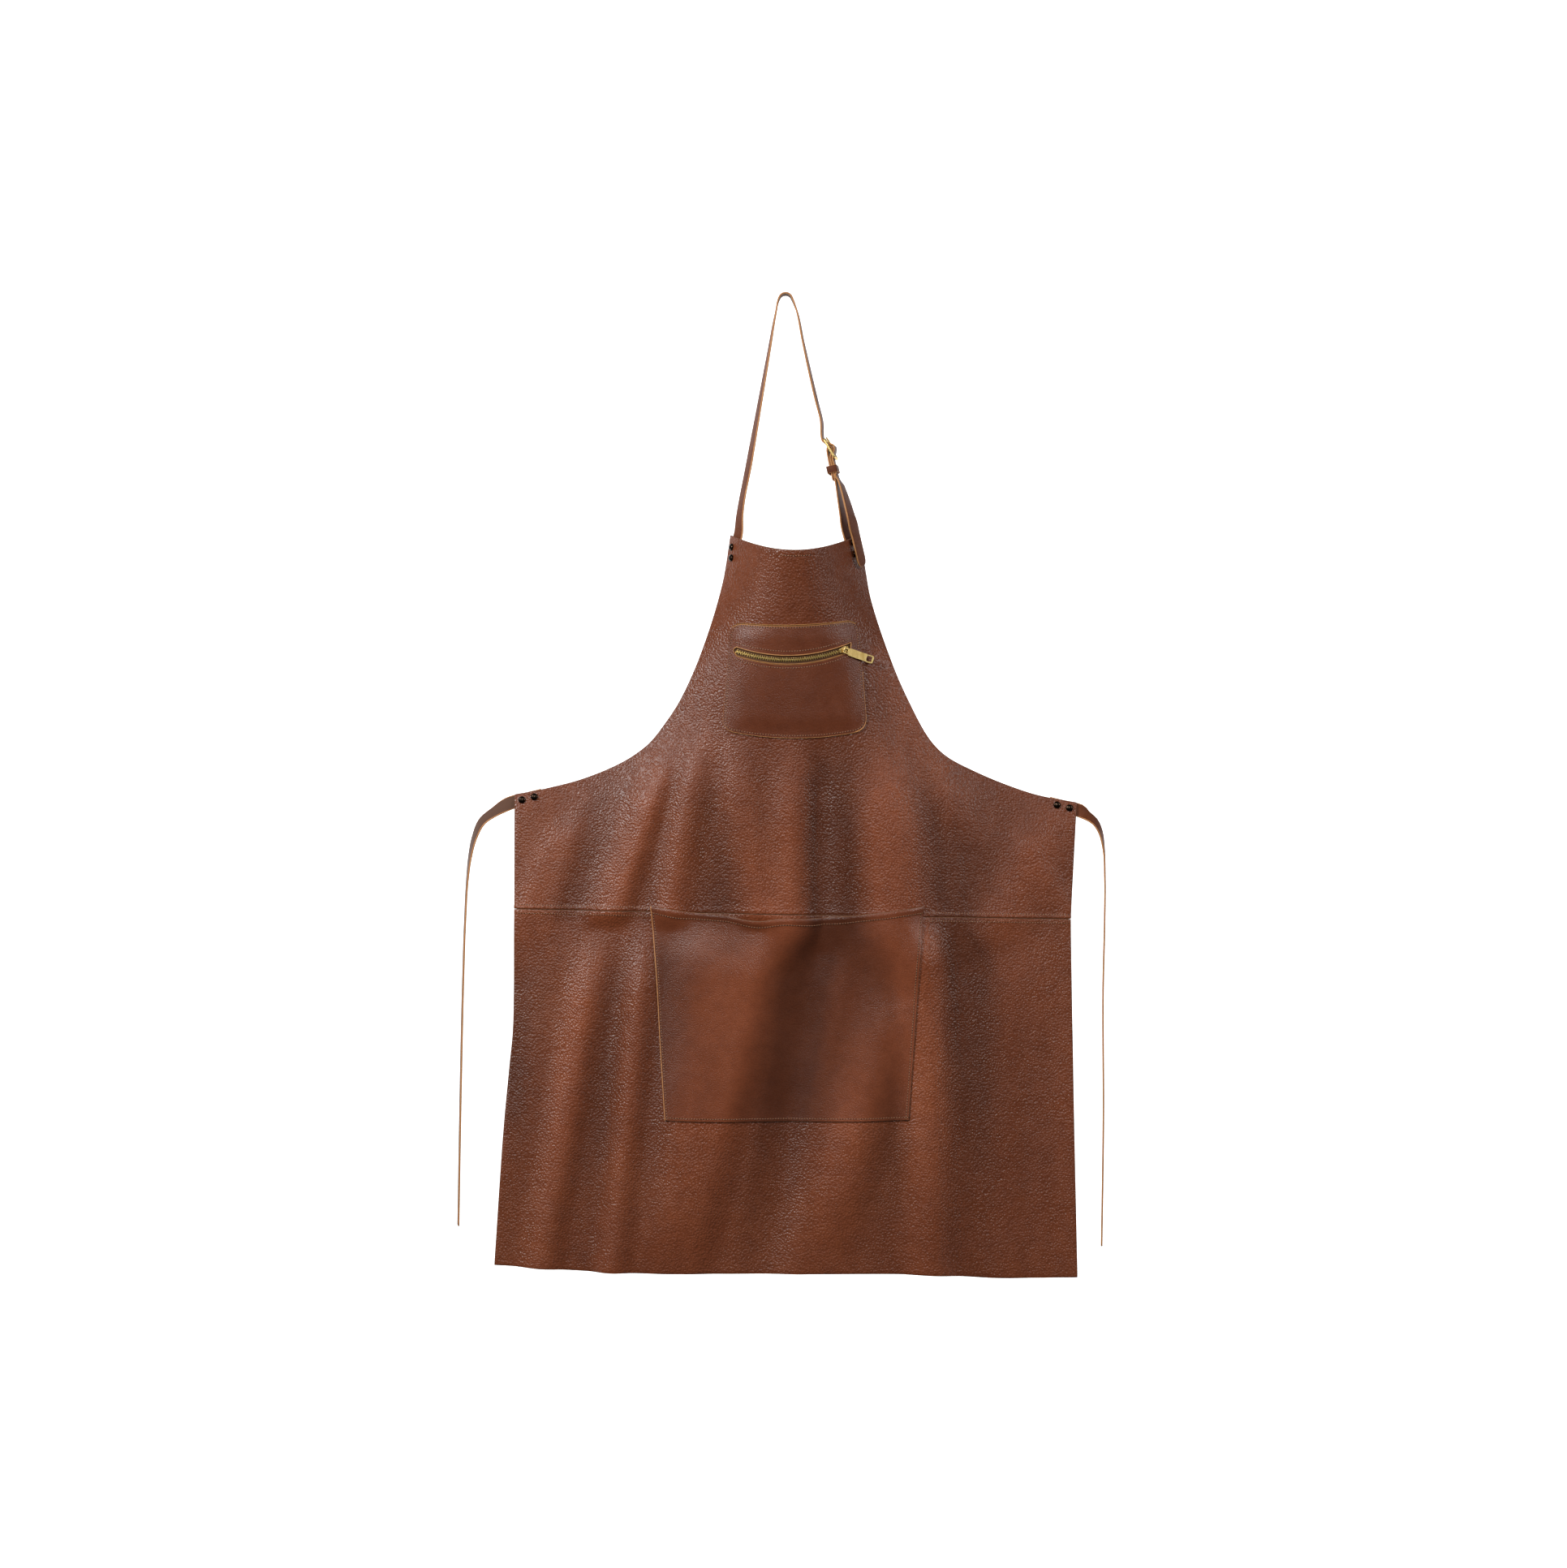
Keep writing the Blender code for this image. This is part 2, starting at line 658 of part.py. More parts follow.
def ribbon(name, rows, width, thick, spacing, look):
    """Flat strap along rows of (centre, width direction)."""
    routed = smooth_route(rows, spacing)
    sections = []
    for index, (centre, across) in enumerate(routed):
        ahead = routed[min(index + 1, len(routed) - 1)][0]
        behind = routed[max(index - 1, 0)][0]
        along = (ahead - behind).normalized()
        side = (across - along * across.dot(along)).normalized()
        out = along.cross(side).normalized()
        half_side, half_out = side * (width / 2.0), out * (thick / 2.0)
        sections.append(
            [
                centre - half_side - half_out,
                centre + half_side - half_out,
                centre + half_side + half_out,
                centre - half_side + half_out,
            ]
        )
    return loft(name, sections, look)


def turned_width(degrees):
    angle = math.radians(degrees)
    return Vector((math.sin(angle), math.cos(angle), 0.0))


def build_panels(look):
    bib = bib_places()
    skirt = skirt_places()
    for name, grid in (("bib_panel", bib), ("skirt_panel", skirt)):
        front = [[raised_point(place, 0.0) for place in column] for column in grid]
        back = [[raised_point(place, -PANEL_THICK) for place in column] for column in grid]
        sheet_solid(name, front, back, look)
    return bib, skirt


def rounded_outline(corners, radii, bows, arc_steps, edge_steps):
    """Places round a four-sided patch whose edges may bow downwards."""
    outline = []
    count = len(corners)
    for index, corner in enumerate(corners):
        here = Vector(corner)
        before = Vector(corners[index - 1])
        after = Vector(corners[(index + 1) % count])
        radius = radii[index]
        enter = here + (before - here).normalized() * radius
        leave = here + (after - here).normalized() * radius
        for step in range(arc_steps + 1):
            share = step / arc_steps
            bent = enter.lerp(here, share).lerp(here.lerp(leave, share), share)
            outline.append(bent)
        end = after + (here - after).normalized() * radii[(index + 1) % count]
        for step in range(1, edge_steps[index]):
            outline.append(leave.lerp(end, step / edge_steps[index]))
    left = min(place.x for place in outline)
    right = max(place.x for place in outline)
    top = max(place.y for place in outline)
    bottom = min(place.y for place in outline)
    bowed = []
    for place in outline:
        away = 2.0 * (place.x - left) / (right - left) - 1.0
        height = (place.y - bottom) / (top - bottom)
        bow = bows[0] * height + bows[1] * (1.0 - height)
        bowed.append((place.x, place.y - bow * (1.0 - away * away)))
    return bowed


def chest_pocket_corners():
    top = -NECK_DROP - CHEST_POCKET_TOP
    bottom = top - CHEST_POCKET_HEIGHT
    half_top = CHEST_POCKET_WIDTH / 2.0
    half_bottom = half_top + CHEST_POCKET_SPREAD / 2.0
    return (
        (BIB_SHIFT - half_top, top),
        (BIB_SHIFT - half_bottom, bottom),
        (BIB_SHIFT + half_bottom, bottom),
        (BIB_SHIFT + half_top, top),
    )


def zip_middle():
    return BIB_SHIFT - ZIP_SHIFT


def zip_place(share):
    """Place along the zip, from its left end at 0 to its right end at 1."""
    x = zip_middle() + (share - 0.5) * ZIP_LENGTH
    away = 2.0 * share - 1.0
    ends = -NECK_DROP - CHEST_POCKET_TOP - ZIP_DROP
    return x, ends - ZIP_BOW * (1.0 - away * away) + 0.15 * ZIP_BOW * away


def zip_strip(height, width, overrun, steps):
    """Two rows of places on each side of the zip's line, for a strip of this width."""
    upper, lower = [], []
    for step in range(steps + 1):
        share = -overrun + (1.0 + 2.0 * overrun) * step / steps
        x, z = zip_place(share)
        upper.append((x, z + width / 2.0))
        lower.append((x, z - width / 2.0))
    return [raised_row(upper, height), raised_row(lower, height)]


def raised_row(places, height):
    return [raised_point(place, height) for place in places]


def chest_loft(x, z):
    """Extra height of the chest pocket over the bib, none at its sewn edges."""
    corners = chest_pocket_corners()
    top, bottom = corners[0][1], corners[1][1] - CHEST_POCKET_BOW
    half = CHEST_POCKET_WIDTH / 2.0 + CHEST_POCKET_SPREAD / 2.0
    edge = 0.012
    side = smooth_step((half - abs(x - BIB_SHIFT)) / edge)
    rise = smooth_step((top - z) / edge) * smooth_step((z - bottom) / edge)
    return CHEST_POCKET_LOFT * side * rise


def chest_pocket_block(bib):
    """Grid places over the chest pocket, a little past its outline."""
    corners = chest_pocket_corners()
    top, bottom = corners[0][1], corners[1][1] - CHEST_POCKET_BOTTOM_BOW
    first = ARMHOLE_COLUMNS - CHEST_MARGIN_COLUMNS
    last = ARMHOLE_COLUMNS + BIB_COLUMNS + CHEST_MARGIN_COLUMNS
    block = bib[first:last + 1]
    rows = range(BIB_ROWS)
    above = max(row for row in rows if all(column[row][1] > top for column in block))
    below = min(row for row in rows if all(column[row][1] < bottom for column in block))
    return [column[above:below + 1] for column in block]


def build_chest_pocket(bib, look):
    block = chest_pocket_block(bib)

    def lifted(height):
        return [
            [raised_point(place, height + chest_loft(*place)) for place in column]
            for column in block
        ]

    pocket = sheet_solid("chest_pocket", lifted(GAP + POCKET_THICK), lifted(GAP), look)
    corners = chest_pocket_corners()
    radii = [CHEST_POCKET_RADIUS] * 4
    bows = (CHEST_POCKET_BOW, CHEST_POCKET_BOTTOM_BOW)
    outline = rounded_outline(corners, radii, bows, 4, (2, 8, 2, 8))
    add_boolean(pocket, prism_cutter("chest_pocket_outline", outline), "INTERSECT")
    steps = 12
    upper = [zip_place(step / steps) for step in range(steps + 1)]
    half = ZIP_SLOT_HEIGHT / 2.0
    slot = [(x, z + half) for x, z in upper] + [(x, z - half) for x, z in reversed(upper)]
    add_boolean(pocket, prism_cutter("zip_slot_outline", slot), "DIFFERENCE")


def build_zip(tape_look, brass):
    steps = 16
    tape_top = ZIP_STAND + ZIP_TAPE_THICK
    for name, low, high, width, overrun, look in (
        ("zip_tape", ZIP_STAND, tape_top, ZIP_TAPE_WIDTH, 0.02, tape_look),
        ("zip_chain", tape_top + GAP, chain_top(), ZIP_CHAIN_WIDTH, -0.02, brass),
    ):
        bottom = zip_strip(low, width, overrun, steps)
        top = zip_strip(high, width, overrun, steps)
        loft(
            name,
            [[bottom[0][i], top[0][i], top[1][i], bottom[1][i]] for i in range(steps + 1)],
            look,
        )


def chain_top():
    return ZIP_STAND + ZIP_TAPE_THICK + GAP + ZIP_CHAIN_THICK


def box_section(centre, axis_a, axis_b, low_a, high_a, low_b, high_b):
    return [
        centre + axis_a * low_a + axis_b * low_b,
        centre + axis_a * high_a + axis_b * low_b,
        centre + axis_a * high_a + axis_b * high_b,
        centre + axis_a * low_a + axis_b * high_b,
    ]


def box(name, centre, axes, ranges, look):
    """Box along three axes from ranges of low and high."""
    (first, second, third), (along, wide, tall) = axes, ranges
    sections = [
        box_section(centre + first * at, second, third, *wide, *tall) for at in along
    ]
    return loft(name, sections, look)


def build_slider(brass):
    """Slider over the chain's right end, its bridge, and the puller hinged under it."""
    share = 1.0 - 0.9 * SLIDER_LENGTH / ZIP_LENGTH
    place = zip_place(share)
    before, after = (raised_point(zip_place(share + step), 0.0) for step in (-0.02, 0.02))
    up = face_normal(*place)
    along = (after - before).normalized()
    across = up.cross(along).normalized()
    foot = face_point(*place)
    inner = ZIP_CHAIN_WIDTH / 2.0 + GAP
    outer = inner + SLIDER_CHEEK
    half = SLIDER_LENGTH / 2.0
    plate_low = chain_top() + GAP
    plate_top = plate_low + SLIDER_THICK
    cheek_low = ZIP_STAND + ZIP_TAPE_THICK + 2.0 * GAP
    slider = box(
        "zip_slider", foot, (along, across, up),
        ((-half, half), (-outer, outer), (cheek_low, plate_top)), brass,
    )
    channel = box(
        "slider_channel", foot, (along, across, up),
        ((-half - GAP, half + GAP), (-inner, inner), (cheek_low - GAP, plate_low)), None,
    )
    add_boolean(slider, as_cutter(channel), "DIFFERENCE")

    sag = Vector((math.cos(PULLER_DROOP), 0.0, -math.sin(PULLER_DROOP)))
    flat = (sag - up * sag.dot(up)).normalized()
    side = up.cross(flat).normalized()
    room = PULLER_THICK * 0.75 + GAP
    axis_height = plate_top + room
    span = room + BRIDGE_WIRE
    arch = box(
        "slider_bridge", foot, (side, flat, up),
        (
            (-BRIDGE_WIRE / 2.0, BRIDGE_WIRE / 2.0),
            (-span, span),
            (plate_top - GAP, axis_height + span),
        ),
        None,
    )
    window = box(
        "slider_bridge_window", foot, (side, flat, up),
        (
            (-BRIDGE_WIRE, BRIDGE_WIRE),
            (-room, room),
            (plate_top, axis_height + room),
        ),
        None,
    )
    add_boolean(arch, as_cutter(window), "DIFFERENCE")
    add_boolean(slider, as_cutter(arch), "UNION")

    hinge = foot + up * axis_height
    lie = (flat * math.cos(PULLER_LEAN) - up * math.sin(PULLER_LEAN)).normalized()
    rise = lie.cross(side).normalized()
    if rise.dot(up) < 0.0:
        rise = -rise
    bar = PULLER_THICK / 2.0
    eye_half = PULLER_EYE_WIDTH / 2.0
    puller = box(
        "zip_puller", hinge, (lie, side, rise),
        (
            (-bar, PULLER_LENGTH),
            (-PULLER_WIDTH / 2.0, PULLER_WIDTH / 2.0),
            (-bar, bar),
        ),
        brass,
    )
    eye_end = bar + PULLER_EYE
    cuts = (
        ("puller_eye", (bar, eye_end), (-eye_half, eye_half)),
        ("puller_neck_left", (-2.0 * bar, eye_end), (-PULLER_WIDTH, -eye_half - PULLER_THICK)),
        ("puller_neck_right", (-2.0 * bar, eye_end), (eye_half + PULLER_THICK, PULLER_WIDTH)),
        (
            "puller_hole",
            (PULLER_LENGTH - 1.6 * PULLER_HOLE, PULLER_LENGTH - 0.6 * PULLER_HOLE),
            (-PULLER_HOLE / 2.0, PULLER_HOLE / 2.0),
        ),
    )
    for name, lengths, widths in cuts:
        cutter = box(
            name, hinge, (lie, side, rise), (lengths, widths, (-PULLER_THICK, PULLER_THICK)), None
        )
        add_boolean(puller, as_cutter(cutter), "DIFFERENCE")
    move_origin(puller, hinge)


def move_origin(obj, point):
    obj.data.transform(Matrix.Translation(-point))
    obj.location = point


def front_pocket_corners():
    top = -NECK_DROP - BIB_HEIGHT + FRONT_POCKET_RISE
    bottom = top - FRONT_POCKET_HEIGHT
    middle = WAIST_SHIFT - FRONT_POCKET_SHIFT
    half_top = FRONT_POCKET_WIDTH / 2.0
    half_bottom = half_top - FRONT_POCKET_TAPER / 2.0
    return (
        (middle - half_top, top),
        (middle - half_bottom, bottom),
        (middle + half_bottom, bottom),
        (middle + half_top, top),
    )


def front_gape(x, z):
    """Distance of the front pocket from the panels, over its gap at the sewn edges."""
    corners = front_pocket_corners()
    down = min(max((corners[0][1] - z) / FRONT_POCKET_HEIGHT, 0.0), 1.0)
    half = (FRONT_POCKET_WIDTH - FRONT_POCKET_TAPER * down) / 2.0
    away = min(abs(x - (corners[0][0] + corners[3][0]) / 2.0) / half, 1.0)
    return FRONT_POCKET_GAPE * (1.0 - away ** 2.2) * (1.0 - down) ** 1.4


def build_front_pocket(bib, skirt, look):
    corners = front_pocket_corners()
    margin = 0.004
    columns = [
        index
        for index, column in enumerate(skirt)
        if corners[0][0] - WAIST_WIDTH / ARMHOLE_COLUMNS / 2.0 < column[0][0]
        and column[0][0] < corners[3][0] + WAIST_WIDTH / ARMHOLE_COLUMNS / 2.0
    ]
    rows = 1 + next(
        row for row, place in enumerate(skirt[columns[0]])
        if place[1] < corners[1][1] - 2.0 * margin
    )
    block = []
    for index in columns:
        seam = skirt[index][0]
        block.append([bib[index][-2], (seam[0], seam[1] + GAP / 2.0)] + skirt[index][1:rows])

    def lifted(height):
        return [
            [raised_point(place, height + front_gape(*place)) for place in column]
            for column in block
        ]

    pocket = sheet_solid("front_pocket", lifted(GAP + POCKET_THICK), lifted(GAP), look)
    outline = rounded_outline(
        corners, [0.002] * 4, (FRONT_POCKET_BOW, 0.15 * FRONT_POCKET_BOW), 1, (2, 6, 2, 12)
    )
    add_boolean(pocket, prism_cutter("front_pocket_outline", outline), "INTERSECT")


def behind_panel(place):
    """Centre of a strap that lies against the back of the panel."""
    return raised_point(place, -PANEL_THICK - STRAP_SEAT - STRAP_THICK / 2.0)


def lying_row(place, ahead):
    """Row of a strap lying flat behind the panel, heading for another place."""
    here, there = behind_panel(place), behind_panel(ahead)
    return here, face_normal(*place).cross(there - here).normalized()


def strap_point(row, depth):
    return Vector((row["across"] * BIB_WIDTH, depth, -row["down"] * NECK_DROP))


def bib_rivet_place(row):
    corner_x, corner_z = bib_corner(row["side"])
    x = corner_x - row["side"] * row["in"] * BIB_WIDTH
    return x, corner_z - row["down"] * BIB_RIVET_SPACING


def bib_anchor_rows(side, end_reach):
    """Strap rows from its end behind the bib corner, over both rivets, to the top edge."""
    upper, lower = (bib_rivet_place(row) for row in BIB_RIVETS if row["side"] == side)
    step_x, step_z = upper[0] - lower[0], upper[1] - lower[1]
    end = (lower[0] - step_x * end_reach, lower[1] - step_z * end_reach)
    rise = (bib_corner(side)[1] - upper[1]) * ANCHOR_OVERRUN
    lean = -side * ANCHOR_LEAN
    top = (upper[0] + lean * rise, upper[1] + rise)
    places = [end, lower, upper, top]
    rows = []
    for place, ahead in zip(places, places[1:] + [None]):
        if ahead is None:
            ahead = (top[0] + lean * rise, top[1] + rise)
        centre, across = lying_row(place, ahead)
        rows.append((centre, across if across.y > 0.0 else -across))
    return rows


def hang_arc():
    """Rows of the strap over the hanging point, from its left side to its right."""
    radius = HANG_RADIUS + STRAP_THICK / 2.0
    rows = []
    for degrees in HANG_TURNS:
        angle = math.radians(degrees)
        centre = Vector((radius * math.cos(angle), 0.0, radius * math.sin(angle) - HANG_RADIUS))
        rows.append((centre, turned_width(0.0)))
    return rows


def buckle_frame_axes():
    """Buckle's middle bar, its lengthways axis, outward axis and the bar's own axis."""
    right = bib_anchor_rows(1, RIGHT_STRAP_END)[-1][0]
    centre = Vector(
        (BUCKLE_ACROSS * BIB_WIDTH, right.y * BUCKLE_DOWN ** 2, -BUCKLE_DOWN * NECK_DROP)
    )
    level = Vector((math.cos(BUCKLE_TURN), -math.sin(BUCKLE_TURN), 0.0))
    down = Vector((0.0, 0.0, -1.0))
    along = level * math.sin(BUCKLE_TILT) + down * math.cos(BUCKLE_TILT)
    out = level * math.cos(BUCKLE_TILT) - down * math.sin(BUCKLE_TILT)
    bar = Vector((math.sin(BUCKLE_TURN), math.cos(BUCKLE_TURN), 0.0))
    return centre, along, out, bar


def around(bar_at, radius, degrees):
    """Point beside a buckle bar: 0 degrees is along the buckle, 90 its outer side."""
    centre, along, out, _ = buckle_frame_axes()
    angle = math.radians(degrees)
    return (
        centre
        + along * (bar_at + radius * math.cos(angle))
        + out * (radius * math.sin(angle))
    )


def stack_axes():
    """Direction of the strap layers under the buckle, and their outward axis."""
    level = Vector((math.cos(BUCKLE_TURN), -math.sin(BUCKLE_TURN), 0.0))
    down = Vector((0.0, 0.0, -1.0))
    along = level * math.sin(STACK_TILT) + down * math.cos(STACK_TILT)
    out = level * math.cos(STACK_TILT) - down * math.sin(STACK_TILT)
    return along, out


def wrap_radius(layers):
    """Distance from a bar's centre to the middle of a strap layer, 1 being the nearest."""
    return BUCKLE_BAR_RADIUS + 1.4 * GAP + STRAP_THICK / 2.0 + (layers - 1) * layer_pitch()


def layer_pitch():
    return STRAP_THICK + 1.5 * GAP


def build_neck_strap(look):
    _, _, _, bar = buckle_frame_axes()
    stack_along, stack_out = stack_axes()
    bend = math.degrees(BUCKLE_TILT - STACK_TILT)
    rows = bib_anchor_rows(-1, LEFT_STRAP_END)
    corner_depth = rows[-1][0].y
    for row in LEFT_RUN:
        rows.append((strap_point(row, corner_depth * row["down"]), turned_width(row["turn"])))
    rows += hang_arc()
    run_depth = buckle_frame_axes()[0].y
    for row in RIGHT_RUN:
        depth = run_depth * (row["down"] / BUCKLE_DOWN) ** 2
        rows.append((strap_point(row, depth), turned_width(row["turn"])))
    top_bar, low_bar = -BUCKLE_BAR_SPACING, BUCKLE_BAR_SPACING
    near = wrap_radius(1)
    rows += [(around(top_bar, near, degrees), bar) for degrees in TOP_BAR_TURNS]
    rows.append((around(0.0, STRAP_BULGE, 90.0), bar))
    rows += [(around(low_bar, near, degrees), bar) for degrees in (LOW_BAR_TURN, -90.0 - bend)]
    start = around(low_bar, near, -90.0 - bend)
    rows += [(start + stack_along * reach, bar) for reach in LAYER_REACHES]
    above = rows[-1][0].y
    for row in TAIL_RUN:
        across = turned_width(row["turn"])
        point = strap_point(row, 0.0)
        lead = point.x - across.x * STRAP_WIDTH / 2.0
        proud = face_depth(lead, point.z) + across.y * STRAP_WIDTH / 2.0 - TAIL_STAND
        point.y = above + (proud - above) * row["ease"]
        rows.append((point, across))
    return ribbon("neck_strap", rows, STRAP_WIDTH, STRAP_THICK, STRAP_STEP, look)


def build_buckle_strap(look):
    """Short strap from the right bib corner, folded round the buckle's middle bar."""
    _, _, _, bar = buckle_frame_axes()
    stack_along, _ = stack_axes()
    bend = math.degrees(BUCKLE_TILT - STACK_TILT)
    inner = around(BUCKLE_BAR_SPACING, wrap_radius(3), -90.0 - bend)
    outer = around(BUCKLE_BAR_SPACING, wrap_radius(2), -90.0 - bend)
    rows = [(inner + stack_along * reach, bar) for reach in FOLD_INNER_REACHES]
    rows.append((around(BUCKLE_BAR_SPACING, wrap_radius(3), FOLD_INNER_TURN), bar))
    rows += [(around(0.0, wrap_radius(1), degrees), bar) for degrees in FOLD_TURNS]
    rows.append((around(BUCKLE_BAR_SPACING, wrap_radius(2), LOW_BAR_TURN), bar))
    rows += [(outer + stack_along * reach, bar) for reach in FOLD_OUTER_REACHES]
    lower = rows[-1][0]
    anchor = list(reversed(bib_anchor_rows(1, RIGHT_STRAP_END)))
    for share in ANCHOR_BLENDS:
        turn = bar.lerp(anchor[0][1], share).normalized()
        rows.append((lower.lerp(anchor[0][0], share), turn))
    rows += anchor
    return ribbon("buckle_strap", rows, STRAP_WIDTH, STRAP_THICK, BUCKLE_STRAP_STEP, look)


def build_buckle(brass):
    centre, along, out, bar = buckle_frame_axes()
    half_length = BUCKLE_BAR_SPACING
    half_width = STRAP_WIDTH / 2.0 + 3.0 * GAP + BUCKLE_BAR_RADIUS
    sections = []
    turns = 3
    for quarter in range(4):
        sign_along = 1.0 if quarter in (0, 1) else -1.0
        sign_bar = 1.0 if quarter in (0, 3) else -1.0
        middle = (
            centre
            + along * (sign_along * (half_length - BUCKLE_CORNER))
            + bar * (sign_bar * (half_width - BUCKLE_CORNER))
        )
        for step in range(turns):
            angle = math.radians(90.0 - 90.0 * quarter - 90.0 * step / (turns - 1))
            outward = along * math.cos(angle) + bar * math.sin(angle)
            spot = middle + outward * BUCKLE_CORNER
            sections.append(circle_section(spot, outward, out, BUCKLE_BAR_RADIUS, WIRE_SIDES))
    frame = loft("buckle_frame", sections, brass, closed=True)
    middle_bar = loft(
        "buckle_middle_bar",
        [
            circle_section(centre + bar * reach, along, out, BUCKLE_BAR_RADIUS, WIRE_SIDES)
            for reach in (-half_width, half_width)
        ],
        None,
    )
    add_boolean(frame, as_cutter(middle_bar), "UNION")

    half = PRONG_WIDTH / 2.0
    hole_radius = BUCKLE_BAR_RADIUS + GAP
    low = BUCKLE_BAR_RADIUS + GAP
    reach = BUCKLE_BAR_SPACING + PRONG_OVERHANG
    prong = box(
        "buckle_prong", centre, (bar, along, out),
        ((-half, half), (-reach, 0.0), (low, low + PRONG_THICK)), brass,
    )
    axes = (along, out, bar)
    eye = round_bar("prong_eye", centre, axes, hole_radius + PRONG_EYE_WALL, half)
    hole = round_bar("prong_eye_hole", centre, axes, hole_radius, 2.0 * half)
    add_boolean(prong, eye, "UNION")
    add_boolean(prong, hole, "DIFFERENCE")
    slot = half + 2.0 * GAP
    fold_slot = round_bar("fold_slot", centre, axes, wrap_radius(1) + STRAP_THICK, slot)
    tongue_slot = as_cutter(
        box(
            "tongue_slot", centre, (bar, along, out),
            ((-slot, slot), (-reach - GAP, 0.0), (low - GAP, low + PRONG_THICK + GAP)), None,
        )
    )
    return fold_slot, tongue_slot


def round_bar(name, centre, axes, radius, half):
    """Cutter round the last of the axes, with a half length."""
    first, second, axis = axes
    return as_cutter(
        loft(
            name,
            [
                circle_section(centre + axis * reach, first, second, radius, EYE_SIDES)
                for reach in (-half, half)
            ],
            None,
        )
    )


def build_keeper(look):
    """Leather loop round the strap layers under the buckle."""
    _, _, _, bar = buckle_frame_axes()
    along, out = stack_axes()
    bend = math.degrees(BUCKLE_TILT - STACK_TILT)
    nearest = around(BUCKLE_BAR_SPACING, wrap_radius(1), -90.0 - bend) + along * KEEPER_DROP
    high = STRAP_THICK / 2.0 + 2.0 * GAP
    low = -2.0 * layer_pitch() - STRAP_THICK / 2.0 - GAP - KEEPER_SLACK
    half = STRAP_WIDTH / 2.0 + 2.0 * GAP
    sections = []
    for side, edge in ((-1, low), (1, low), (1, high), (-1, high)):
        grow = -KEEPER_THICK if edge == low else KEEPER_THICK
        inner = nearest + bar * (side * half) + out * edge
        outer = nearest + bar * (side * (half + KEEPER_THICK)) + out * (edge + grow)
        reach = along * KEEPER_LENGTH
        sections.append([inner, outer, outer + reach, inner + reach])
    loft("keeper_loop", sections, look, closed=True)


def waist_rivet_places(side):
    """Outer and inner rivet at a waist corner, along the line of the tie."""
    corner_x, corner_z = tie_corner(side)
    outer = (corner_x - side * WAIST_RIVET_INSET, corner_z - WAIST_RIVET_DROP)
    rise = WAIST_RIVET_SLOPE * WAIST_RIVET_SPACING
    return outer, (outer[0] - side * WAIST_RIVET_SPACING, outer[1] + rise)


def build_tie(name, side, run, reach, drop, look):
    outer, inner = waist_rivet_places(side)
    step = Vector(outer) - Vector(inner)
    end = Vector(inner) - step * TIE_END_REACH
    edge = Vector(outer) + step * TIE_EDGE_REACH
    places = [tuple(end), inner, outer, tuple(edge)]
    rows = []
    for place, ahead in zip(places, places[1:] + [tuple(edge + step)]):
        centre, across = lying_row(place, ahead)
        rows.append((centre, across if across.z > 0.0 else -across))
    start = rows[-1][0]
    points = [
        start + Vector((side * row["out"] * reach, 0.0, -row["down"] * drop)) for row in run
    ]
    for index, (row, point) in enumerate(zip(run, points)):
        before = points[index - 1] if index else start
        after = points[min(index + 1, len(points) - 1)]
        along = (after - before).normalized()
        upright = Vector((side * -along.z, 0.0, side * along.x)).normalized()
        angle = math.radians(row["turn"])
        across = upright * math.cos(angle) + Vector((0.0, 1.0, 0.0)) * math.sin(angle)
        rows.append((point, across))
    return ribbon(name, rows, TIE_WIDTH, STRAP_THICK, TIE_STEP, look)


def build_rivet(name, place, look, holed):
    """Domed rivet through the panel and the strap behind it."""
    up = face_normal(*place)
    foot = face_point(*place)
    first = up.orthogonal().normalized()
    second = up.cross(first)
    back = PANEL_THICK + STRAP_SEAT + STRAP_THICK + 2.0 * GAP
    profile = (
        (0.45 * RIVET_RADIUS, 2.0 * GAP + RIVET_DOME),
        (0.82 * RIVET_RADIUS, 2.0 * GAP + 0.62 * RIVET_DOME),
        (RIVET_RADIUS, 2.0 * GAP + RIVET_RIM),
        (RIVET_RADIUS, 2.0 * GAP),
        (RIVET_POST, 2.0 * GAP),
        (RIVET_POST, -back),
        (RIVET_BACK_RADIUS, -back),
        (RIVET_BACK_RADIUS, -back - RIVET_BACK_THICK),
    )
    sections = [
        circle_section(foot + up * height, first, second, radius, RIVET_SIDES)
        for radius, height in profile
    ]
    loft(name, sections, look)
    hole = as_cutter(
        loft(
            name + "_hole",
            [
                circle_section(foot + up * height, first, second, RIVET_POST + GAP, RIVET_SIDES)
                for height in (3.0 * RIVET_DOME, -3.0 * back)
            ],
            None,
        )
    )
    for obj in holed:
        add_boolean(obj, hole, "DIFFERENCE")


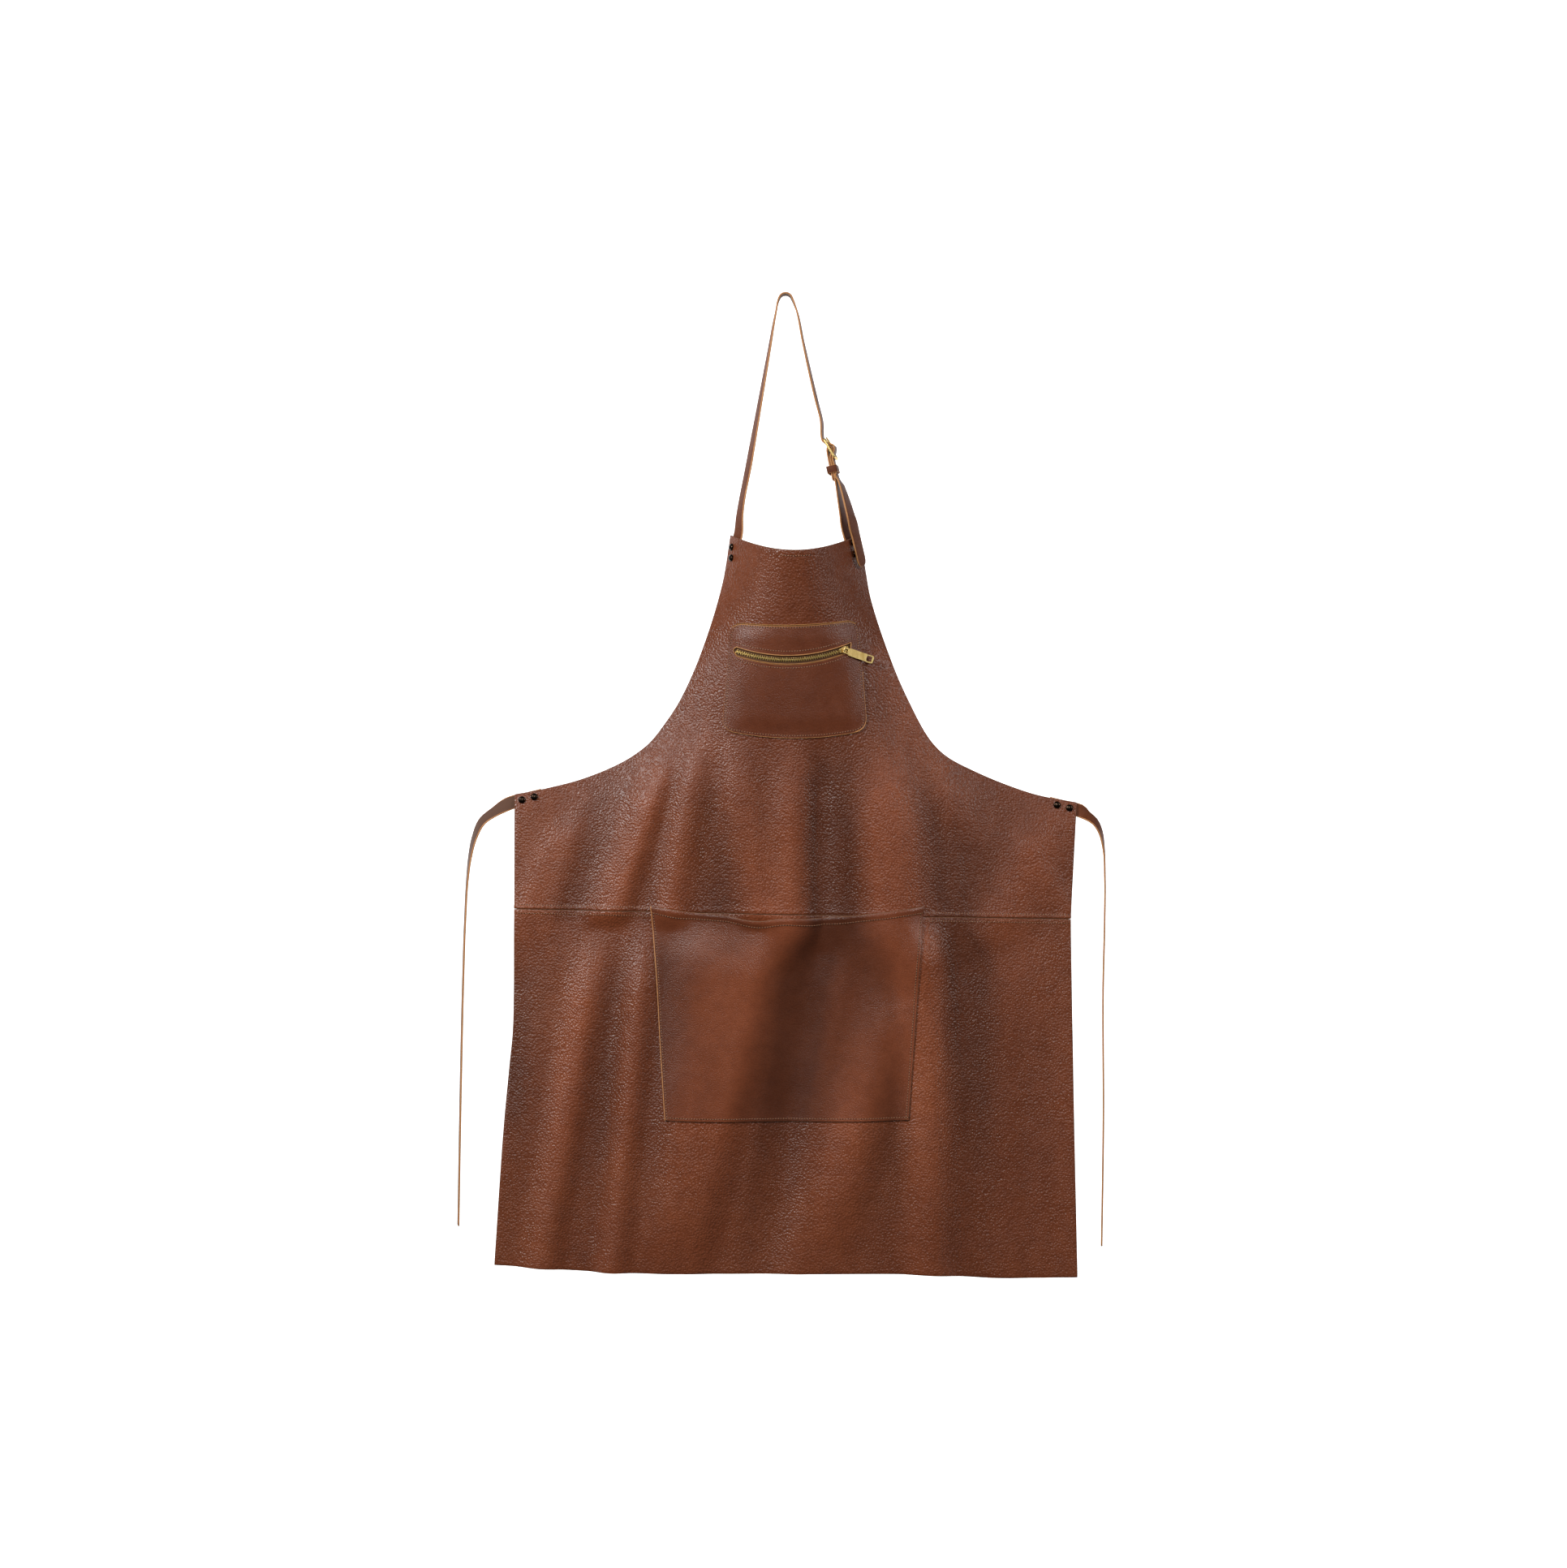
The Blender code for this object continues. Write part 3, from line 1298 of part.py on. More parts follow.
def main():
    clear_scene()
    leather = material("leather", LEATHER)
    strap_leather = material("strap_leather", STRAP_LEATHER)
    pocket_leather = material("pocket_leather", POCKET_LEATHER)
    brass = material("brass", BRASS)
    tape = material("zip_tape_cloth", TAPE)
    dark_metal = material("dark_metal", DARK_METAL)

    bib, skirt = build_panels(leather)
    bib_panel = bpy.data.objects["bib_panel"]
    build_chest_pocket(bib, pocket_leather)
    build_zip(tape, brass)
    build_slider(brass)
    build_front_pocket(bib, skirt, pocket_leather)

    neck_strap = build_neck_strap(strap_leather)
    buckle_strap = build_buckle_strap(strap_leather)
    fold_slot, tongue_slot = build_buckle(brass)
    add_boolean(buckle_strap, fold_slot, "DIFFERENCE")
    add_boolean(neck_strap, tongue_slot, "DIFFERENCE")
    build_keeper(strap_leather)
    for row in BIB_RIVETS:
        strap = neck_strap if row["side"] < 0 else buckle_strap
        build_rivet(row["name"], bib_rivet_place(row), dark_metal, (bib_panel, strap))

    ties = (
        ("left", -1, LEFT_TIE_RUN, LEFT_TIE_REACH, LEFT_TIE_DROP),
        ("right", 1, RIGHT_TIE_RUN, RIGHT_TIE_REACH, RIGHT_TIE_DROP),
    )
    for word, side, run, reach, drop in ties:
        tie = build_tie("tie_" + word, side, run, reach, drop, strap_leather)
        for spot, place in zip(("outer", "inner"), waist_rivet_places(side)):
            build_rivet(f"rivet_waist_{word}_{spot}", place, dark_metal, (bib_panel, tie))


main()
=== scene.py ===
"""Looks of the hanging leather work apron. Metres, +Z up, front faces -Y."""

import math

import bmesh
import bpy
import numpy as np
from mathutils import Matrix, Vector


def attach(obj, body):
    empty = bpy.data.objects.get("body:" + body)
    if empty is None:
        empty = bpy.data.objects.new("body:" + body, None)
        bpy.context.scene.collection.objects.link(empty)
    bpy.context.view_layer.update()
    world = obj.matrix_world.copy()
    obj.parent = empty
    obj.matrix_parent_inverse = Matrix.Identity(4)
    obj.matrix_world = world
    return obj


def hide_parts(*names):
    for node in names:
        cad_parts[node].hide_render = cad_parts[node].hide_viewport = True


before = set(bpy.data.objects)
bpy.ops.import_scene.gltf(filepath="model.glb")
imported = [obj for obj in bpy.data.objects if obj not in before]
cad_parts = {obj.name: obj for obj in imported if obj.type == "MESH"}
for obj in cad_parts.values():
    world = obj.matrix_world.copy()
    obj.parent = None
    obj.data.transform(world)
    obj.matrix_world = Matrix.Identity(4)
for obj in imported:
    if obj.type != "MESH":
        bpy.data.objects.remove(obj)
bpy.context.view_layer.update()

# Sizes shared with the solids
NECK_DROP = 0.2815
BIB_HEIGHT = 0.4425
SKIRT_HEIGHT = 0.4185
ARMHOLE_HEIGHT = 0.3075
BIB_WIDTH = 0.150
BIB_SHIFT = 0.0105
WAIST_WIDTH = 0.651
WAIST_SHIFT = 0.0081
HEM_WIDTH = 0.681
HEM_SHIFT = 0.0005
WAIST_TILT = 0.012
TIE_CORNER_TILT = 0.0095
TIE_CORNER_FLARE = 0.0075
BIB_SCOOP = 0.023
HEM_DIP = 0.010
PANEL_THICK = 0.0018
POCKET_THICK = 0.0015
STRAP_THICK = 0.0020
GAP = 0.0003
STRAP_SEAT = 0.0009
CURL_DEPTH = 0.120
CURL_HALF_WIDTH = 0.094
FOLD_HEIGHT = 0.010
CHEST_TOP = 0.0985
CHEST_HEIGHT = 0.1295
CHEST_WIDTH = 0.1475
CHEST_SPREAD = 0.0215
CHEST_RADIUS = 0.016
CHEST_BOW = 0.0080
CHEST_TILT = 0.0020
CHEST_BOTTOM_BOW = 0.0096
CHEST_LOFT = 0.0024
ZIP_DROP = 0.0350
ZIP_LENGTH = 0.1330
ZIP_SHIFT = 0.0030
ZIP_STAND = 0.0008
ZIP_SLOT_HEIGHT = 0.0098
ZIP_BOW = 0.0130
ZIP_CHAIN_WIDTH = 0.0052
ZIP_CHAIN_THICK = 0.0018
ZIP_TAPE_WIDTH = 0.0240
ZIP_TAPE_THICK = 0.0006
SLIDER_LENGTH = 0.0100
SLIDER_THICK = 0.0016
PULLER_LENGTH = 0.0400
PULLER_WIDTH = 0.0090
PULLER_THICK = 0.0014
PULLER_DROOP = math.radians(17.0)
PULLER_LEAN = math.radians(3.0)
FRONT_WIDTH = 0.3170
FRONT_TAPER = 0.0330
FRONT_HEIGHT = 0.2490
FRONT_SHIFT = 0.0064
FRONT_RISE = 0.0095
FRONT_BOW = 0.0135
FRONT_GAPE = 0.0150
STRAP_WIDTH = 0.0200
HANG_RADIUS = 0.0070
BAR_RADIUS = 0.0013
BAR_SPACING = 0.0120
BUCKLE_TURN = math.radians(9.0)
BUCKLE_TILT = math.radians(30.0)
STACK_TILT = math.radians(13.0)
STRAP_BULGE = 0.0058
BUCKLE_CORNER = 0.0028
TAIL_STAND = 0.0105
TIE_WIDTH = 0.0160
RIVET_RADIUS = 0.0042
RIVET_DOME = 0.0026
BIB_RIVET_SPACING = 0.0135
WAIST_RIVET_SPACING = 0.0145
WAIST_RIVET_INSET = 0.0082
WAIST_RIVET_DROP = 0.0062
SEAM_BIB_SHARE = 0.28
BUCKLE_ACROSS = 0.350
BUCKLE_DOWN = 0.645
LEFT_STRAP_END = 0.55
RIGHT_STRAP_END = 0.80

ARMHOLE_LEFT = np.array((
    (0.000, 0.000), (0.188, 0.038), (0.439, 0.129), (0.627, 0.227), (0.752, 0.326),
    (0.815, 0.394), (0.878, 0.508), (0.940, 0.686), (0.980, 0.870), (1.000, 1.000),
))
ARMHOLE_RIGHT = np.array((
    (0.000, 0.000), (0.100, 0.026), (0.243, 0.058), (0.486, 0.156), (0.650, 0.246),
    (0.760, 0.322), (0.825, 0.400), (0.881, 0.528), (0.933, 0.677), (0.973, 0.825),
    (1.000, 1.000),
))
SKIRT_SIDES = np.array((
    (0.00, 0.00, 0.00), (0.26, 0.04, 0.20), (0.35, 0.09, 0.30), (0.45, 0.27, 0.38),
    (0.62, 0.54, 0.55), (1.00, 1.00, 1.00),
))
HEM_LINE = np.array((
    (0.00, -0.95), (0.12, -0.40), (0.24, -0.10), (0.50, 0.05), (0.74, 0.10), (0.86, 0.62),
    (1.00, 0.52),
))
# level, depth, half width, set back
CURL = np.array((
    (0.00, 1.000, 1.00, 0.358), (0.17, 0.783, 1.18, 0.298), (0.33, 0.533, 1.50, 0.192),
    (0.54, 0.375, 2.02, 0.150), (0.73, 0.250, 2.45, 0.083), (1.00, 0.150, 2.66, 0.050),
    (1.50, 0.083, 2.77, 0.017), (2.00, 0.050, 2.98, 0.000),
))
# from, to, x0, x1, left, right, height, fade in, fade out
FOLDS = (
    (0.50, 0.99, -0.210, -0.318, 0.075, 0.042, 0.85, 0.22, 0.06),
    (0.47, 0.99, -0.163, -0.222, 0.042, 0.050, 0.70, 0.20, 0.06),
    (0.48, 0.99, -0.116, -0.061, 0.060, 0.055, 0.66, 0.22, 0.06),
    (0.50, 1.03, 0.000, -0.004, 0.056, 0.050, 0.65, 0.25, 0.14),
    (0.40, 1.05, 0.165, 0.196, 0.100, 0.085, 1.20, 0.40, 0.20),
    (0.70, 1.00, 0.470, 0.390, 0.070, 0.090, 0.35, 0.12, 0.12),
    (0.72, 0.98, -0.400, -0.470, 0.050, 0.070, 0.30, 0.10, 0.12),
    (1.01, 2.00, -0.345, -0.452, 0.055, 0.048, 0.85, 0.24, 0.50),
    (1.01, 2.00, -0.262, -0.326, 0.046, 0.046, 1.05, 0.22, 0.45),
    (1.40, 2.00, -0.520, -0.545, 0.060, 0.060, 0.55, 0.30, 0.10),
    (0.98, 1.80, -0.045, -0.165, 0.210, 0.066, 1.00, 0.20, 0.50),
    (1.06, 1.75, 0.215, 0.090, 0.085, 0.080, 0.70, 0.30, 0.30),
    (1.00, 2.00, 0.240, 0.252, 0.070, 0.055, 1.05, 0.14, 0.55),
)
# Slight creases that the solids leave out: the same columns
CREASES = (
    (0.22, 0.66, 0.150, 0.275, 0.062, 0.060, 0.42, 0.12, 0.20),
    (0.62, 0.98, -0.455, -0.485, 0.040, 0.040, 0.05, 0.10, 0.10),
    (0.66, 1.00, -0.370, -0.430, 0.030, 0.022, 0.12, 0.10, 0.10),
    (0.60, 1.00, 0.085, 0.095, 0.028, 0.022, 0.10, 0.10, 0.10),
    (0.55, 1.00, 0.270, 0.300, 0.030, 0.020, 0.12, 0.10, 0.10),
    (0.76, 0.99, 0.395, 0.500, 0.060, 0.030, 0.16, 0.08, 0.10),
    (0.48, 1.01, 0.048, 0.054, 0.032, 0.032, -0.42, 0.22, 0.08),
    (1.01, 1.80, 0.052, -0.030, 0.070, 0.060, -0.70, 0.10, 0.40),
    (1.02, 2.00, 0.312, 0.330, 0.060, 0.080, -0.45, 0.16, 0.50),
    (1.01, 1.75, -0.165, -0.200, 0.080, 0.075, 0.42, 0.12, 0.30),
    (1.15, 2.00, 0.415, 0.430, 0.085, 0.085, -0.40, 0.30, 0.60),
    (1.06, 1.90, -0.505, -0.530, 0.050, 0.060, -0.45, 0.16, 0.40),
    (1.20, 2.00, 0.430, 0.450, 0.030, 0.030, 0.10, 0.20, 0.40),
    (1.30, 2.00, -0.200, -0.230, 0.034, 0.030, 0.12, 0.20, 0.40),
    (1.45, 2.00, 0.020, 0.010, 0.036, 0.030, 0.10, 0.20, 0.40),
)
# across, down, turn
LEFT_RUN = (
    (-0.3576, 0.932, -24.0), (-0.2800, 0.695, -20.0), (-0.2025, 0.460, -14.0),
    (-0.1250, 0.224, -8.0), (-0.0760, 0.075, -3.0),
)
RIGHT_RUN = (
    (0.0830, 0.060, 3.0), (0.1350, 0.190, 6.0), (0.1900, 0.324, 9.0), (0.2450, 0.450, 10.0),
    (0.2800, 0.525, 9.0),
)
# across, down, turn, ease
TAIL_RUN = (
    (0.4300, 0.790, 14.0, 0.25), (0.4730, 0.865, 24.0, 0.65), (0.5060, 0.932, 29.0, 1.00),
    (0.5400, 1.000, 30.0, 1.00), (0.5710, 1.067, 30.0, 1.00), (0.6000, 1.135, 31.0, 1.00),
)
# out, down, turn
LEFT_TIE_RUN = (
    (0.32, 0.022, 42.0), (0.55, 0.044, 52.0), (0.70, 0.084, 64.0), (0.78, 0.128, 72.0),
    (0.83, 0.182, 78.0), (0.87, 0.270, 80.0), (0.91, 0.420, 80.0), (0.95, 0.640, 80.0),
    (1.00, 1.000, 80.0),
)
RIGHT_TIE_RUN = (
    (0.28, 0.011, 44.0), (0.60, 0.025, 56.0), (0.83, 0.050, 68.0), (0.94, 0.082, 78.0),
    (1.00, 0.155, 83.0), (0.99, 0.250, 84.0), (0.93, 0.400, 84.0), (0.94, 0.700, 84.0),
    (0.87, 1.000, 84.0),
)
TIES = (
    ("left", -1, LEFT_TIE_RUN, 0.0625, 0.4960),
    ("right", 1, RIGHT_TIE_RUN, 0.0295, 0.5100),
)
# name, side, share in, spacings down
BIB_RIVETS = (
    ("rivet_bib_left_upper", -1, 0.012, 1.06),
    ("rivet_bib_left_lower", -1, 0.010, 2.00),
    ("rivet_bib_right_upper", 1, 0.051, 0.70),
    ("rivet_bib_right_lower", 1, 0.033, 1.70),
)


EDGE_REACH = 0.6
# Painted shade and light on the folds: neighbour offsets, the fold depth for full effect, and the colour
# factors for the hollows (painted shade) and the crests (painted light)
FOLD_SHADE_STEPS = (-0.066, -0.044, 0.044, 0.066)
FOLD_SHADE_DEPTH = 0.0060
FOLD_SHADE_TONES = (0.48, 1.14)
SEAM_EDGE = GAP / 2.0 + EDGE_REACH * PANEL_THICK / 2.0


# The hung surface
def smooth_step(value):
    clamped = np.clip(value, 0.0, 1.0)
    return clamped * clamped * (3.0 - 2.0 * clamped)


def table_value(table, column, at):
    """Value of a column where the first column is at, on a curve through the rows."""
    keys, values = table[:, 0], table[:, column]
    at = np.clip(np.asarray(at, float), keys[0], keys[-1])
    last = len(keys) - 1
    upper = np.clip(np.searchsorted(keys, at), 1, last)
    lower = upper - 1
    before, after = np.maximum(lower - 1, 0), np.minimum(upper + 1, last)
    span = keys[upper] - keys[lower]
    share = (at - keys[lower]) / span
    slope_in = (values[upper] - values[before]) / (keys[upper] - keys[before]) * span
    slope_out = (values[after] - values[lower]) / (keys[after] - keys[lower]) * span
    square, cube = share ** 2, share ** 3
    return (
        (2 * cube - 3 * square + 1) * values[lower]
        + (cube - 2 * square + share) * slope_in
        + (3 * square - 2 * cube) * values[upper]
        + (cube - square) * slope_out
    )


def level_at(z):
    below = -z - NECK_DROP
    return np.where(
        below <= BIB_HEIGHT, below / BIB_HEIGHT, 1.0 + (below - BIB_HEIGHT) / SKIRT_HEIGHT
    )


def curl_profile(share):
    bend, foot = 0.8, 1.25
    away = np.abs(share)
    tail = (1.0 - bend * bend) * ((foot - np.minimum(away, foot)) / (foot - bend)) ** 2
    return np.where(away <= bend, 1.0 - away * away, tail)


def fold_depth(x, level):
    across = (x - WAIST_SHIFT) / WAIST_WIDTH
    total = np.zeros(np.broadcast(x, level).shape)
    for start, end, x0, x1, left, right, height, fade_in, fade_out in FOLDS + CREASES:
        along = (level - start) / (end - start)
        offset = across - (x0 + (x1 - x0) * along)
        width = np.where(offset < 0.0, left, right)
        ridge = 0.5 + 0.5 * np.cos(np.pi * np.clip(offset / width, -1.0, 1.0))
        rise = smooth_step((level - start) / fade_in)
        fall = smooth_step((end + fade_out - level) / fade_out)
        total = total + height * ridge * rise * fall
    return FOLD_HEIGHT * total


def face_depth(x, z):
    """Y of the panels' front face."""
    level = level_at(z)
    depth = table_value(CURL, 1, level) * CURL_DEPTH
    half_width = table_value(CURL, 2, level) * CURL_HALF_WIDTH
    set_back = table_value(CURL, 3, level) * CURL_DEPTH
    middle = BIB_SHIFT + (WAIST_SHIFT - BIB_SHIFT) * smooth_step(level)
    return set_back - depth * curl_profile((x - middle) / half_width) - fold_depth(x, level)


def face_normals(places):
    step = 0.001
    x, z = places[..., 0], places[..., 1]
    slope_x = (face_depth(x + step, z) - face_depth(x - step, z)) / (2.0 * step)
    slope_z = (face_depth(x, z + step) - face_depth(x, z - step)) / (2.0 * step)
    normals = np.stack([slope_x, -np.ones_like(slope_x), slope_z], axis=-1)
    return normals / np.linalg.norm(normals, axis=-1, keepdims=True)


def raised(places, height):
    """Points at a height above the front face, for an array of places (x, z)."""
    places = np.asarray(places, float)
    x, z = places[..., 0], places[..., 1]
    feet = np.stack([x, face_depth(x, z), z], axis=-1)
    return feet + face_normals(places) * np.asarray(height)[..., None]


def raised_point(place, height):
    return Vector(raised(np.array(place), height))


def normal_at(place):
    return Vector(face_normals(np.array(place, float)))


def bib_corner(side):
    return BIB_SHIFT + side * BIB_WIDTH / 2.0, -NECK_DROP


def tie_corner(side):
    flare = TIE_CORNER_FLARE if side > 0 else 0.0
    waist_x = WAIST_SHIFT + side * WAIST_WIDTH / 2.0
    return waist_x + flare, -NECK_DROP - ARMHOLE_HEIGHT - side * TIE_CORNER_TILT / 2.0


def seam_place(across):
    x = WAIST_SHIFT + (across - 0.5) * WAIST_WIDTH
    return x, -NECK_DROP - BIB_HEIGHT - (across - 0.5) * WAIST_TILT


def armhole_place(side, share):
    table = ARMHOLE_LEFT if side < 0 else ARMHOLE_RIGHT
    top_x, top_z = bib_corner(side)
    end_x, end_z = tie_corner(side)
    scaled = table * np.array((abs(end_z - top_z), abs(end_x - top_x)))
    steps = np.hypot(*np.diff(scaled, axis=0).T)
    lengths = np.concatenate([[0.0], np.cumsum(steps)]) / steps.sum()
    rows = np.column_stack([lengths, scaled])
    down, out = (float(table_value(rows, column, share)) for column in (1, 2))
    return top_x + side * out, top_z - down


def bib_top_place(share):
    away = 2.0 * share - 1.0
    x = BIB_SHIFT + away * BIB_WIDTH / 2.0
    return x, -NECK_DROP - BIB_SCOOP * (1.0 - away * away)


def hem_place(across):
    x = HEM_SHIFT + (across - 0.5) * HEM_WIDTH
    dip = float(table_value(HEM_LINE, 1, across)) * HEM_DIP
    return x, -NECK_DROP - BIB_HEIGHT - SKIRT_HEIGHT - dip


def shares(count):
    return [index / count for index in range(count + 1)]


def column_tops(armhole_columns, bib_columns):
    side_share = (1.0 - SEAM_BIB_SHARE) / 2.0
    columns = [
        (armhole_place(-1, 1.0 - share), share * side_share)
        for share in shares(armhole_columns)[:-1]
    ]
    columns += [
        (bib_top_place(share), side_share + share * SEAM_BIB_SHARE)
        for share in shares(bib_columns)[:-1]
    ]
    columns += [
        (armhole_place(1, share), 1.0 - side_share + share * side_share)
        for share in shares(armhole_columns)
    ]
    return columns


def bib_grid(armhole_columns, bib_columns, rows):
    grid = []
    for top, across in column_tops(armhole_columns, bib_columns):
        end = seam_place(across)
        edge = np.array((end[0], end[1] + SEAM_EDGE))
        top = np.array(top)
        grid.append([top + (edge - top) * share for share in rows])
    return np.array(grid)


def skirt_grid(armhole_columns, bib_columns, rows):
    grid = []
    for _, across in column_tops(armhole_columns, bib_columns):
        seam_x, seam_z = seam_place(across)
        hem_x, hem_z = hem_place(across)
        column = []
        for down in rows:
            left = float(table_value(SKIRT_SIDES, 1, down))
            right = float(table_value(SKIRT_SIDES, 2, down))
            spread = left + (right - left) * across
            start = seam_z - SEAM_EDGE
            column.append((seam_x + (hem_x - seam_x) * spread, start + (hem_z - seam_z) * down))
        grid.append(column)
    return np.array(grid)


# Meshes
def add_mesh(name, points, faces, looks, slots=None):
    mesh = bpy.data.meshes.new(name)
    mesh.from_pydata(np.asarray(points).reshape(-1, 3).tolist(), [], faces)
    for look in looks:
        mesh.materials.append(look)
    if slots is not None:
        mesh.polygons.foreach_set("material_index", slots)
    mesh.update()
    mesh.shade_smooth()
    made = bpy.data.objects.new(name, mesh)
    bpy.context.scene.collection.objects.link(made)
    return made


def loop_outwards(mid, normals, loop, sign):
    """Direction in the surface, away from the piece, at each point of a rim loop."""
    points = mid[loop]
    tangents = np.roll(points, -1, axis=0) - np.roll(points, 1, axis=0)
    out = np.cross(tangents, normals[loop])
    out /= np.linalg.norm(out, axis=1, keepdims=True)
    away = points - points.mean(axis=0)
    if np.sum(out * away) * sign < 0.0:
        out = -out
    return out


def wall(name, grid, low, high, looks, wrap=False, arc=5, edge_reach=1.0):
    """Leather wall over a grid of places, with a rounded cut edge in the second look."""
    columns, rows = grid.shape[:2]
    normals = face_normals(grid).reshape(-1, 3)
    front = raised(grid, np.broadcast_to(high, (columns, rows))).reshape(-1, 3)
    back = raised(grid, np.broadcast_to(low, (columns, rows))).reshape(-1, 3)
    count = columns * rows
    mid = (front + back) / 2.0

    def at(column, row):
        return (column % columns) * rows + row

    faces = []
    for column in range(columns if wrap else columns - 1):
        for row in range(rows - 1):
            a, b = at(column, row), at(column, row + 1)
            c, d = at(column + 1, row + 1), at(column + 1, row)
            faces.append((a, b, c, d))
            faces.append((a + count, d + count, c + count, b + count))
    slots = [0] * len(faces)
    if wrap:
        loops = [
            ([at(column, 0) for column in range(columns)], 1.0),
            ([at(column, rows - 1) for column in reversed(range(columns))], -1.0),
        ]
    else:
        rim = [at(0, row) for row in range(rows)]
        rim += [at(column, rows - 1) for column in range(1, columns)]
        rim += [at(columns - 1, row) for row in range(rows - 2, -1, -1)]
        rim += [at(column, 0) for column in range(columns - 2, 0, -1)]
        loops = [(rim, 1.0)]
    points = [front, back]
    total = 2 * count
    for loop, sign in loops:
        out = loop_outwards(mid, normals, loop, sign)
        half = np.linalg.norm(front[loop] - back[loop], axis=1, keepdims=True) / 2.0
        rings = [np.array(loop)]
        for step in range(1, arc):
            angle = math.pi * step / arc
            ring = mid[loop] + out * half * edge_reach * math.sin(angle)
            ring = ring + normals[loop] * half * math.cos(angle)
            points.append(ring)
            rings.append(np.arange(total, total + len(loop)))
            total += len(loop)
        rings.append(np.array(loop) + count)
        for upper, lower in zip(rings, rings[1:]):
            for index in range(len(loop)):
                after = (index + 1) % len(loop)
                faces.append((upper[index], lower[index], lower[after], upper[after]))
                slots.append(1)
    made = add_mesh(name, np.concatenate(points), faces, looks, slots)
    return made


def smooth_route(rows, spacing):
    """Rows of (point, width direction) on a curve through the rows given."""
    lengths = [(after[0] - here[0]).length for here, after in zip(rows, rows[1:])]

    def slope(index, part):
        if index in (0, len(rows) - 1):
            near = min(index, len(rows) - 2)
            return (rows[near + 1][part] - rows[near][part]) / lengths[near]
        before, after = lengths[index - 1], lengths[index]
        enter = (rows[index][part] - rows[index - 1][part]) / before
        leave = (rows[index + 1][part] - rows[index][part]) / after
        return (enter * after + leave * before) / (before + after)

    routed = []
    for index, length in enumerate(lengths):
        steps = max(1, round(length / spacing))
        for step in range(steps):
            share = step / steps
            square, cube = share ** 2, share ** 3
            routed.append(
                tuple(
                    rows[index][part] * (2.0 * cube - 3.0 * square + 1.0)
                    + slope(index, part) * (length * (cube - 2.0 * square + share))
                    + rows[index + 1][part] * (3.0 * square - 2.0 * cube)
                    + slope(index + 1, part) * (length * (cube - square))
                    for part in (0, 1)
                )
            )
    routed.append(rows[-1])
    return routed


def strap_profile(width, thick):
    """Outline across a strap as (side, out, is cut edge to the next point)."""
    half, round_off = width / 2.0, thick / 2.0
    outline = []
    for share in (-1.0, -0.5, 0.0, 0.5, 1.0):
        crown = 0.00015 * (1.0 - share * share)
        outline.append((share * (half - round_off), round_off + crown, share == 1.0))
    for degrees in (60.0, 30.0, 0.0, -30.0, -60.0):
        angle = math.radians(degrees)
        outline.append(
            (half - round_off + round_off * math.cos(angle), round_off * math.sin(angle), True)
        )
    outline.append((half - round_off, -round_off, False))
    outline.append((0.0, -round_off, False))
    outline.append((-half + round_off, -round_off, True))
    for degrees in (-120.0, -150.0, 180.0, 150.0, 120.0):
        angle = math.radians(degrees)
        outline.append(
            (-half + round_off + round_off * math.cos(angle), round_off * math.sin(angle), True)
        )
    return outline


def ribbon(name, rows, width, thick, looks, spacing=0.004, tip=0.0):
    """Strap with rounded cut edges along rows of (centre, width direction)."""
    routed = smooth_route(rows, spacing)
    outline = strap_profile(width, thick)
    count = len(outline)
    points = []
    total = sum((b[0] - a[0]).length for a, b in zip(routed, routed[1:]))
    gone = 0.0
    for index, (centre, across) in enumerate(routed):
        ahead = routed[min(index + 1, len(routed) - 1)][0]
        behind = routed[max(index - 1, 0)][0]
        along = (ahead - behind).normalized()
        side = (across - along * across.dot(along)).normalized()
        out = along.cross(side).normalized()
        left = total - gone
        narrow = 1.0
        if tip > 0.0 and left < tip:
            narrow = math.sqrt(max(1.0 - (1.0 - left / tip) ** 2, 0.02))
        for away, high, _ in outline:
            points.append(centre + side * (away * narrow) + out * high)
        gone += (ahead - centre).length
    faces, slots = [], []
    for index in range(len(routed) - 1):
        start, end = index * count, (index + 1) * count
        for corner, (_, _, cut) in enumerate(outline):
            after = (corner + 1) % count
            faces.append((start + corner, end + corner, end + after, start + after))
            slots.append(1 if cut else (2 if corner in (10, 11) else 0))
    faces.append(tuple(range(count)))
    faces.append(tuple(reversed(range(len(points) - count, len(points)))))
    slots += [1, 1]
    return add_mesh(name, [tuple(p) for p in points], faces, looks, slots)


def tube(name, centres, radius, sides, look, closed=False, frame_axis=None):
    """Round wire through centres."""
    points, faces = [], []
    count = len(centres)
    for index, centre in enumerate(centres):
        ahead = centres[(index + 1) % count] if closed else centres[min(index + 1, count - 1)]
        behind = centres[index - 1] if closed else centres[max(index - 1, 0)]
        along = (ahead - behind).normalized()
        first = (frame_axis - along * frame_axis.dot(along)).normalized()
        second = along.cross(first)
        for side in range(sides):
            angle = 2.0 * math.pi * side / sides
            points.append(
                centre + first * (radius * math.cos(angle)) + second * (radius * math.sin(angle))
            )
    for index in range(count if closed else count - 1):
        start, end = index * sides, ((index + 1) % count) * sides
        for side in range(sides):
            after = (side + 1) % sides
            faces.append((start + side, start + after, end + after, end + side))
    if not closed:
        faces.append(tuple(reversed(range(sides))))
        faces.append(tuple(range((count - 1) * sides, count * sides)))
    return add_mesh(name, [tuple(p) for p in points], faces, [look])


